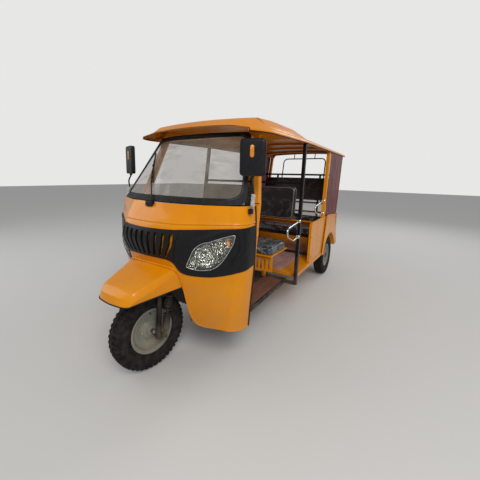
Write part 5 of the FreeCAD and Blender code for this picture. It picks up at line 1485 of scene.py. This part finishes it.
def mirror(side, sign):
    turn = Matrix.Rotation(math.radians(20 * sign), 4, (0, 0, 1))
    turn = Matrix.Translation(sided([MIRROR_AT], sign)[0]) @ turn
    housing = plate("mirror_housing", (0.172, 0.032, 0.244), 0.026, (0, 0, 0))
    for width, step in ((0.006, 0.003), (0.004, -0.003), (0.016, -0.0012)):
        inset(width)
        shift((0, step, 0))
    pick(housing, lambda c, n: n.y > 0.9)
    inset(0.005)
    extrude((0, -0.004, 0))
    leave()
    modify(housing, "BEVEL", width=0.0025, segments=3, limit_method="ANGLE", angle_limit=math.radians(35))
    housing.data.transform(turn)
    settle(housing, "body", housing_plastic, 40)
    face = plate("mirror_glass_" + side, (0.158, 0.0015, 0.230), 0.022, (0, 0.0135, 0))
    leave()
    face.data.transform(turn)
    settle(face, "body", mirror_face, 30)
    marker = plate("mirror_marker_" + side, (0.026, 0.007, 0.080), 0.0125, (-0.004, -0.0145, 0.040))
    inset(0.002)
    shift((0, -0.0012, 0))
    leave()
    marker.data.transform(turn)
    settle(marker, "body", amber_lens, 40)
    route = [(0.632, -1.229, 1.412), (0.634, -1.229, 1.392), (0.645, -1.243, 1.345), (0.648, -1.236, 1.270),
             (0.6505, -1.256, 1.205), (0.651, -1.264, 1.168)]
    stay = pipe("mirror_stay", sided(route, sign), 0.0062, ring=3)
    settle(stay, "body", trim_plastic, 50)
    route = [(0.6482, -1.237, 1.285), (0.6488, -1.243, 1.252), (0.6505, -1.256, 1.205),
             (0.651, -1.263, 1.188)]
    tape = pipe("mirror_stay_tape_" + side, sided(route, sign), 0.0155, ring=4)
    crumpled = random.Random(7)
    for vert in tape.data.vertices:
        middle = Vector((0.6497 * sign, -1.250, vert.co.z))
        vert.co = middle + (vert.co - middle) * crumpled.uniform(0.62, 1.12)
    settle(tape, "body", wrap_film, 50)
    ends = sorted((0.634 * sign, 0.657 * sign))
    bolts = [block("mirror_clamp", (ends[0], -1.282, 1.154), (ends[1], -1.246, 1.190), 0.004, 2)]
    for z in (1.162, 1.182):
        bolts.append(turned("clamp_bolt", [(-0.003, 0.0), (-0.003, 0.0055), (0.0, 0.0055), (0.0005, 0.0)],
                            (0.6575 * sign, -1.264, z), "X", 6))
    clamp = joined(bolts, "mirror_clamp_" + side)
    settle(clamp, "body", trim_plastic, 35)
    boss = turned("mirror_boss", [(-0.012, 0.0), (-0.012, 0.010), (-0.008, 0.012), (0.008, 0.012),
                                  (0.012, 0.010), (0.012, 0.0)], (0.632 * sign, -1.229, 1.402), "Z", 16)
    settle(boss, "body", trim_plastic, 40)
    whole = joined([housing, stay, boss], "mirror_shell_" + side)
    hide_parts("mirror_" + side)
    return whole


for side, sign in SIDES:
    whole = mirror(side, sign)
print("mirrors of", len(whole.data.polygons), "faces")

# %% [markdown]
# The roof is one moulded shell. In front it is raised and crowned, behind the driver it steps down into a
# long, nearly flat rear part, and its eave turns down all round. As on the cab, a few measured sections
# carry it: the eave, the shoulder and the middle. A grid is laid through them with rounded corners. The
# roof's front edge is drawn in and turned down over the windscreen.

# %% Roof shell
ROOF = [(0.430, 0.092, -0.030, 0.164, -0.016, -0.004), (0.510, 0.040, -0.028, 0.154, 0.054, 0.070),
        (0.660, 0.006, -0.022, 0.139, 0.088, 0.104), (0.910, 0.0, -0.016, 0.134, 0.104, 0.116),
        (1.400, 0.0, -0.004, 0.129, 0.108, 0.124), (1.620, 0.0, 0.0, 0.074, 0.044, 0.062),
        (3.459, 0.0, 0.002, 0.074, 0.042, 0.058)]
EAVE, ROOF_Z = 0.634, 1.765
ROOF_FRONT, ROOF_REAR = ROOF[0][0], ROOF[-1][0]


def between(rows, spot):
    """The straight row between measured rows."""
    i = row_before(rows, spot)
    t = (spot - rows[i][0]) / (rows[i + 1][0] - rows[i][0])
    return [a + (b - a) * t for a, b in zip(rows[i][1:], rows[i + 1][1:])]


def roof_row(station):
    """A row that is softened near the measured sections, but stays under their straight lines."""
    reach = 0.045
    rows = [between(ROOF, min(max(station + d, ROOF_FRONT), ROOF_REAR))
            for d in (-reach, -reach / 2, 0, reach / 2, reach)]
    return [sum(values) / 5 for values in zip(*rows)]


def roof_section(station):
    taper, eave, shoulder, rise, middle = roof_row(station)
    edge = EAVE - taper
    corner = Vector((edge - shoulder, station + AXLE_Y, ROOF_Z + rise))
    top = Vector((0, station + AXLE_Y, ROOF_Z + middle))
    low = Vector((edge, station + AXLE_Y, ROOF_Z + eave - 0.022))
    turn = Vector((edge, station + AXLE_Y, ROOF_Z + eave))
    inward = corner.lerp(top, 0.2) + Vector((0, 0, (middle - rise) * 0.16))
    half = bend_points([low, turn, corner, inward], 0.055, 6)[:-1]
    half += crowned(half[-1], top, 8)
    return half + [Vector((-p.x, p.y, p.z)) for p in reversed(half[:-1])]


stations = spread(ROOF_FRONT, 0.70, 30) + spread(0.715, 1.36, 30) + spread(1.372, 1.66, 28)
stations += spread(1.70, ROOF_REAR, 46)
roof = sheet_through("roof_moulding", [roof_section(v) for v in stations], 0.0035)
settle(roof, "body", roof_paint, 38)
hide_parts("roof_shell")
print("roof:", len(roof.data.polygons), "faces, top at", round(max(v.co.z for v in roof.data.vertices), 3))

# %% [markdown]
# A dark bead runs along the lower rim of both eaves and of the front edge, and a padded-looking moulding
# stands on each side of the raised part over the driver's door.

# %% Dark rim beads and side mouldings
for side, sign in SIDES:
    route = [roof_section(v)[0] for v in spread(0.436, 3.455, 60)]
    route = [Vector((p.x * sign, p.y, p.z + 0.0036)) for p in route]
    bead("roof_drip_edge_" + side, [p - Vector((0.0032 * sign, 0, 0)) for p in route], 0.0050, rubber_seal,
         ring=2)
    section = roof_section(0.434)
    front = [Vector((p.x * sign, p.y + 0.002, p.z - 0.001)) for p in section[:len(section) // 2 + 1]]
    bead("roof_front_edge_" + side, front, 0.0048, rubber_seal, smooth=False, ring=2)
    bulge = primitive("uv_sphere", "roof_side_moulding_" + side, segments=48, ring_count=20, radius=1)
    for vert in bulge.data.vertices:
        x, y, z = vert.co
        y = math.copysign(abs(y) ** 0.62, y)
        station = 0.935 + 0.330 * y
        taper, eave, shoulder, rise, middle = roof_row(station)
        edge = EAVE - taper
        base = Vector((edge - 0.058, station + AXLE_Y, ROOF_Z + eave + rise * 0.42))
        slant = Vector((-shoulder, 0, rise - eave)).normalized()
        lift = Vector((slant.z, 0, -slant.x))
        spot = base + slant * z * 0.050 + lift * x * 0.012
        vert.co = (spot.x * sign, spot.y, spot.z)
    outward(bulge)
    settle(bulge, "body", roof_paint, 60)
print("drip edges and mouldings on both sides")

# %% [markdown]
# The five pads are stuffed, not milled. Each starts a little smaller than its place, is remeshed into
# even squares, and is blown up as cloth with a gentle pressure, which crowns the faces and pulls the
# sides in between the corners. Along its thickness nothing may move further than a cap, and along the
# others 4 mm, and the side that lies on its pan or its rails stays flat. The seams come after, because
# the remesh would rub them out.

# %% Stuffing a pad
VOXEL, SIDEWAYS = 0.0085, 0.004


def stuffed(name, size, corner, cap, rests):
    """A pad from (-x, 0, 0) to (x, y, z), blown up, with the side that rests kept flat."""
    wide, deep, high = size
    pad = cuboid(name, (2 * wide, deep, high), (0, deep / 2, high / 2))
    flat = 2 if rests == "below" else 1
    round_edges(pad, flat, corner)
    round_edges(pad, flat, 0.012, along=False, segments=3)
    leave()
    modify(pad, "REMESH", mode="VOXEL", voxel_size=VOXEL)
    start = [vert.co.copy() for vert in pad.data.vertices]
    only(pad)
    cloth = pad.modifiers.new("stuffing", "CLOTH")
    cloth.settings.use_pressure = True
    cloth.settings.uniform_pressure_force = 4
    cloth.settings.effector_weights.gravity = 0
    cloth.settings.quality = 4
    cloth.point_cache.frame_start = 1
    cloth.point_cache.frame_end = 20
    for number in range(1, 21):
        scene.frame_set(number)
    bpy.ops.object.modifier_apply(modifier="stuffing")
    scene.frame_set(1)
    for vert, first in zip(pad.data.vertices, start):
        move = vert.co - first
        for axis in range(3):
            most = cap if axis == flat else SIDEWAYS
            move[axis] = min(max(move[axis], -most), most)
        vert.co = first + move
        if rests == "below":
            vert.co.z = max(vert.co.z, 0.0)
            vert.co.y += 0.006 * (1 - (first.x / wide) ** 2) * (1 - 2 * first.y / deep)
        else:
            vert.co.y = min(vert.co.y, deep)
    modify(pad, "SUBSURF", levels=1, render_levels=1)
    return pad


def seam_ring(pad, wide, high, corner, margin, rests, steps=7):
    """Points of a rounded ring on a pad's broad side, dropped on its stuffed surface."""
    wide, low, high, corner = wide - margin, margin, high - margin, max(corner - margin, 0.006)
    ring = []
    for x, v, turn in ((wide, high, 0), (-wide, high, 1), (-wide, low, 2), (wide, low, 3)):
        middle = Vector((x - math.copysign(corner, x), v - (corner if v == high else -corner)))
        for i in range(steps):
            angle = math.pi / 2 * (turn + i / (steps - 1))
            ring.append(middle + Vector((math.cos(angle), math.sin(angle))) * corner)
        follow = ((-1, 0), (0, -1), (1, 0), (0, 1))[turn]
        span = (2 * wide if follow[0] else high - low) - 2 * corner
        for i in range(1, 12):
            ring.append(ring[-1] + Vector(follow) * span / 12)
    out = []
    for spot in ring:
        over = Vector((spot.x, spot.y, 0.085)) if rests == "below" else Vector((spot.x, -0.015, spot.y))
        out.append(pad.closest_point_on_mesh(over)[1])
    return out


def finish_pad(pad, node, place, finish, seams):
    for seam, seam_finish in seams:
        seam.data.transform(place)
        settle(seam, "body", seam_finish, 60)
    pad.data.transform(place)
    settle(pad, "body", finish, 80)
    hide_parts(node)
    print(pad.name, len(pad.data.polygons), "faces")


# %% [markdown]
# The three benches carry flat pads, about 70 mm thick, with a welt round the top edge. The driver's is
# still in its film. The two backrests are thinner and leaned, with a pale piping a thumb's width in from
# the edge, and dark stitching beside it.

# %% Bench cushions
PADS = (("driver_pad", "driver_cushion", driver_vinyl, 0.045, 0.012),
        ("middle_pad", "middle_cushion", seat_vinyl, 0.030, 0.012),
        ("rear_pad", "rear_cushion", seat_vinyl, 0.030, 0.014))
for name, node, finish, corner, cap in PADS:
    low, high = (Vector(spot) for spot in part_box(node))
    size = (high.x - 0.008, high.y - low.y - 0.016, high.z - low.z - 0.010)
    pad = stuffed(name, size, corner, cap, "below")
    place = Matrix.Translation((0, low.y + 0.008, low.z))
    ring = seam_ring(pad, size[0], size[1], corner, 0.012, "below")
    welt = pipe(name + "_welt", ring, 0.0032, smooth=False, cyclic=True, ring=2)
    finish_pad(pad, node, place, finish, [(welt, trim_plastic)])

# %% Backrests
lean_back = math.degrees(math.atan2(POST_LEAN[1], POST_LEAN[2]))
BACKS = (("driver_back_pad", "driver_backrest", 0.588, 0.357, (0, -0.2740, 0.965), lean_back),
         ("rear_back_pad", "rear_backrest", 0.566, 0.370, (0, 1.339, 1.045), 10.0))
for name, node, half, tall, hinge, lean in BACKS:
    size = (half - 0.006, 0.049, tall - 0.012)
    pad = stuffed(name, size, 0.040, 0.010, "behind")
    place = Matrix.Translation(hinge) @ Matrix.Rotation(math.radians(-lean), 4, "X") \
        @ Matrix.Translation((0, 0.006, 0.006))
    piping, inner = [pipe(name + tail, seam_ring(pad, size[0], size[2], 0.060, margin, "behind"), radius,
                          smooth=False, cyclic=True, ring=ring)
                     for tail, margin, radius, ring in (("_piping", 0.012, 0.0024, 2),
                                                        ("_stitching", 0.020, 0.0012, 1))]
    finish_pad(pad, node, place, back_vinyl, [(piping, piping_vinyl), (inner, trim_plastic)])

# %% [markdown]
# The frame is square tube and folded sheet, and the CAD gives both perfectly sharp edges. Real tube has
# rounded corners that catch a thin line of light, so those nodes get two live modifiers: Weld closes the
# loose triangles, and Bevel rounds what is sharper than the angle. The CAD mesh itself stays as it is.

# %% Soft edges on tube and sheet
SOFT = {0.0030: ["side_posts", "front_hoop", "pillar_mid_left", "pillar_mid_right", "rear_frame",
                 "roof_rails", "rear_back_rails", "middle_bench", "chassis_frame"],
        0.0022: ["driver_bench", "rear_bench", "dashboard", "wheel_well"],
        0.0008: ["rear_panel", "passenger_floor", "driver_floor", "side_panel_left", "side_panel_right",
                 "quarter_panel_left", "quarter_panel_right", "rear_mudguard_left", "rear_mudguard_right",
                 "leaf_springs", "passenger_mat", "driver_mat"]}
for width, names in SOFT.items():
    for name in names:
        weld = nodes[name].modifiers.new("weld", "WELD")
        weld.merge_threshold = 0.00005
        bevel = nodes[name].modifiers.new("soft_edges", "BEVEL")
        bevel.width = width
        bevel.segments = 2
        bevel.limit_method = "ANGLE"
        bevel.angle_limit = math.radians(50)
print("soft edges on", sum(len(names) for names in SOFT.values()), "nodes")

# %% [markdown]
# Thin sheet would cut a passenger's leg and flap in the wind, so its free edge is rolled over a wire.
# From the side it reads as a slim round bead along the front and the top of the side panel, along the
# rear mudguard and round its wheel arch. Behind the bead the side panel is also folded inwards. Each
# bead is one route, swept with a round section.

# %% Rolled edges on the rear body
PANEL_X, GUARD_X = 0.6265, 0.6435
PANEL_EDGE = [(0.2045, 0.4075), (0.2385, 0.8755), (0.908, 0.8755)]
PANEL_FOLD = [(0.2050, 0.409), (0.2390, 0.8740), (0.900, 0.8740)]
GUARD_EDGE = [(0.7305, 0.376), (0.909, 0.8965), (1.429, 0.8565), (1.5565, 0.376)]
ARCH = [(REAR_AXLE_Y + 0.3385 * math.cos(math.radians(a)), AXLE_Z + 0.3385 * math.sin(math.radians(a)))
        for a in spread(16.6, 163.4, 40)]


def upright(x, points, corner=None, count=8):
    """A route at one place across, with its corners rounded."""
    route = [(x, y, z) for y, z in points]
    return bend_points(route, corner, count) if corner else route


for side, sign in SIDES:
    beads = [pipe(name, route, radius, smooth=False, ring=3) for name, route, radius in (
        ("panel_bead", upright(PANEL_X * sign, PANEL_EDGE, 0.058), 0.0046),
        ("guard_bead", upright(GUARD_X * sign, GUARD_EDGE, 0.036, 6), 0.0046),
        ("arch_bead", upright(GUARD_X * sign, ARCH), 0.0058))]
    settle(joined(beads, "rear_beads_" + side), "body", yellow_paint, 60)
    lip = upright(0.6255 * sign, PANEL_FOLD, 0.056)
    flange = laid_grid("panel_flange_" + side, [[p - Vector((0.024 * sign * j, 0, 0)) for p in lip]
                                                for j in (0, 1)])
    modify(flange, "SOLIDIFY", thickness=0.002, offset=0.0)
    outward(flange)
    settle(flange, "body", yellow_paint, 40)
    route = [(0.6275 * sign, 1.508, 0.884), (0.6275 * sign, 1.711, 1.735)]
    bead("quarter_bead_" + side, route, 0.0040, red_paint, smooth=False, ring=2)
print("beads on both sides")

# %% [markdown]
# Small fixings tell how a vehicle is put together: chrome flanges where the grab handles enter the
# posts, and hexagon bolts with washers where the panels and the posts are held. One bolt is modelled,
# with its chamfered head, and every other bolt is a copy of it with its own mesh.

# %% Flanges and bolts
FLANGE = [(0.0, 0.008), (0.0, 0.0165), (-0.002, 0.0185), (-0.004, 0.0165), (-0.006, 0.0105), (-0.007, 0.008)]
flanges = []
for side, sign in SIDES:
    spots = []
    for z in (0.803, 0.962):
        t = (z - POST_FOOT[2]) / POST_LEAN[2]
        spots.append((POST_FOOT[0] + POST_LEAN[0] * t, POST_FOOT[1] + POST_LEAN[1] * t - 0.0165, z))
    spots += [(0.604, 0.7895, 0.932), (0.604, 0.8155, 1.096)]
    for spot in sided(spots, sign):
        flanges.append(turned("flange", FLANGE, spot, "Y", 24))
settle(joined(flanges, "handle_flanges"), "body", chrome, 35)

bolt = turned("bolt_pattern", [(0.0, 0.0), (0.0, 0.0095), (0.0014, 0.0095), (0.0016, 0.0068)], steps=20)
head = turned("bolt_head", [(0.0014, 0.0), (0.0014, 0.0068), (0.0050, 0.0068), (0.0060, 0.0056),
                            (0.0060, 0.0)], steps=6)
bolt = joined([bolt, head], "bolt_pattern")
places = []
for sign in (1, -1):
    places += [(0.6285, y, z, sign) for y, z in ((0.262, 0.46), (0.262, 0.70), (0.45, 0.43), (0.62, 0.43),
                                                 (0.95, 0.93), (1.20, 0.93), (1.47, 0.93), (1.66, 1.66),
                                                 (1.30, 1.66), (0.98, 1.66))]
    places += [(0.6465, y, z, sign) for y, z in ((0.80, 0.42), (1.50, 0.42), (0.95, 0.855), (1.38, 0.825))]
bolts = [copy_of(bolt, "bolt", Matrix.Translation((x * sign, y, z)) @ facing(sign))
         for x, y, z, sign in places]
only(bolt)
bpy.ops.object.delete()
settle(joined(bolts, "panel_bolts"), "body", bolt_zinc, 30)
print(len(places), "bolts")

# %% [markdown]
# A tail lamp is a black tray with three lenses: red for the tail and brake light, amber for the turn and
# clear for reversing. Each lens is a bevelled block with fine ribs in its finish, and the tray's lip
# stands a little round them.

# %% Tail lamps
LAMP_X = 0.520
for side, sign in SIDES:
    x = LAMP_X * sign
    tray = block("tail_tray_" + side, (x - 0.045, 1.5482, 0.700), (x + 0.045, 1.566, 0.820), 0.006, 3)
    edit(tray)
    pick(tray, lambda centre, normal: normal.y > 0.9 and centre.y > 1.5655)
    inset(0.004)
    extrude((0, -0.006, 0))
    leave()
    settle(tray, "body", trim_plastic, 35)
    lenses = ((0.757, 0.814, red_lens, "tail_red_"), (0.729, 0.755, amber_lens, "tail_amber_"),
              (0.706, 0.727, lens_pale, "tail_clear_"))
    for low, high, finish, name in lenses:
        settle(block(name + side, (x - 0.0395, 1.560, low), (x + 0.0395, 1.5745, high), 0.004, 3), "body",
               finish, 35)
    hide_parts("tail_lamps")
print("tail lamps with three lenses each")

# %% [markdown]
# Under the driver's bench sits a small single-cylinder engine. It is only half seen through the slots of
# the bench, but it is seen from below: a crankcase, an upright cylinder with level cooling fins, a round
# cover on each end of the shaft, and the exhaust pipe.

# %% Engine
case = block("engine_case", (-0.160, -0.622, 0.300), (0.160, -0.396, 0.480), 0.026, 4)
lid = block("engine_lid", (-0.110, -0.560, 0.478), (0.110, -0.410, 0.524), 0.012, 3)
fins = []
for i in range(9):
    z = 0.528 + i * 0.0105
    reach = 0.062 - 0.002 * abs(i - 4)
    fins.append(block("fin", (-reach, -0.480 - reach, z), (reach, -0.480 + reach, z + 0.0035), 0.0012, 1))
core = turned("cylinder", [(0.520, 0.0), (0.520, 0.046), (0.612, 0.046), (0.618, 0.036), (0.624, 0.030),
                           (0.624, 0.0)], (0, -0.480, 0), "Z", 32)
COVER = [(0.0, 0.0), (0.0, 0.078), (0.022, 0.074), (0.034, 0.060), (0.040, 0.030), (0.052, 0.026),
         (0.054, 0.0)]
covers = []
for sign in (1, -1):
    covers.append(turned("shaft_cover", COVER, steps=36))
    covers[-1].data.transform(Matrix.Translation((0.136 * sign, -0.510, 0.390)) @ facing(sign))
engine_parts = joined([case, lid, core] + fins + covers, "engine_dressed")
settle(engine_parts, "body", cast_grey, 35)
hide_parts("engine")
EXHAUST = [(0.02, -0.535, 0.600), (0.02, -0.600, 0.585), (0.110, -0.612, 0.470), (0.165, -0.560, 0.335),
           (0.165, -0.405, 0.325)]
bead("exhaust_pipe", bend_points(EXHAUST, 0.03, 5), 0.013, rust_brown, smooth=False, ring=4)
print("engine with", len(fins), "fins")

# %% [markdown]
# The driver looks at two round gauges in the dashboard and a row of switches. Each gauge is a turned
# bezel over a dark face with plain tick marks, with no words on it.

# %% Gauges
GAUGE_X, GAUGE_Y, GAUGE_Z = 0.13, -1.3565, 1.087
BEZEL = [(0.0, 0.030), (0.0, 0.039), (0.006, 0.040), (0.011, 0.037), (0.011, 0.033), (0.004, 0.031),
         (0.0, 0.030)]
DIAL = [(0.0, 0.0), (0.0, 0.031), (0.0035, 0.031), (0.0035, 0.0)]
for name, sign in SIDES:
    x = GAUGE_X * sign
    settle(turned("gauge_bezel_" + name, BEZEL, (x, GAUGE_Y, GAUGE_Z), "Y", 40), "body", chrome, 35)
    settle(turned("gauge_face_" + name, DIAL, (x, GAUGE_Y, GAUGE_Z), "Y", 40), "body", trim_plastic, 35)
    ticks = []
    for i in range(11):
        a = math.radians(225 - 27 * i)
        tick = block("tick", (-0.0008, 0.0, 0.021 if i % 5 else 0.018), (0.0008, 0.0006, 0.028), 0.0001, 1)
        tick.data.transform(Matrix.Translation((x, GAUGE_Y + 0.0038, GAUGE_Z))
                            @ Matrix.Rotation(math.pi / 2 - a, 4, "Y"))
        ticks.append(tick)
    settle(joined(ticks, "gauge_ticks_" + name), "body", piping_vinyl, 35)
switches = [block("switch", (x - 0.012, -1.3575, 1.056), (x + 0.012, -1.3475, 1.071), 0.002, 2)
            for x in (-0.054, -0.018, 0.018, 0.054)]
settle(joined(switches, "dashboard_switches"), "body", housing_plastic, 35)
print("gauges and switches")
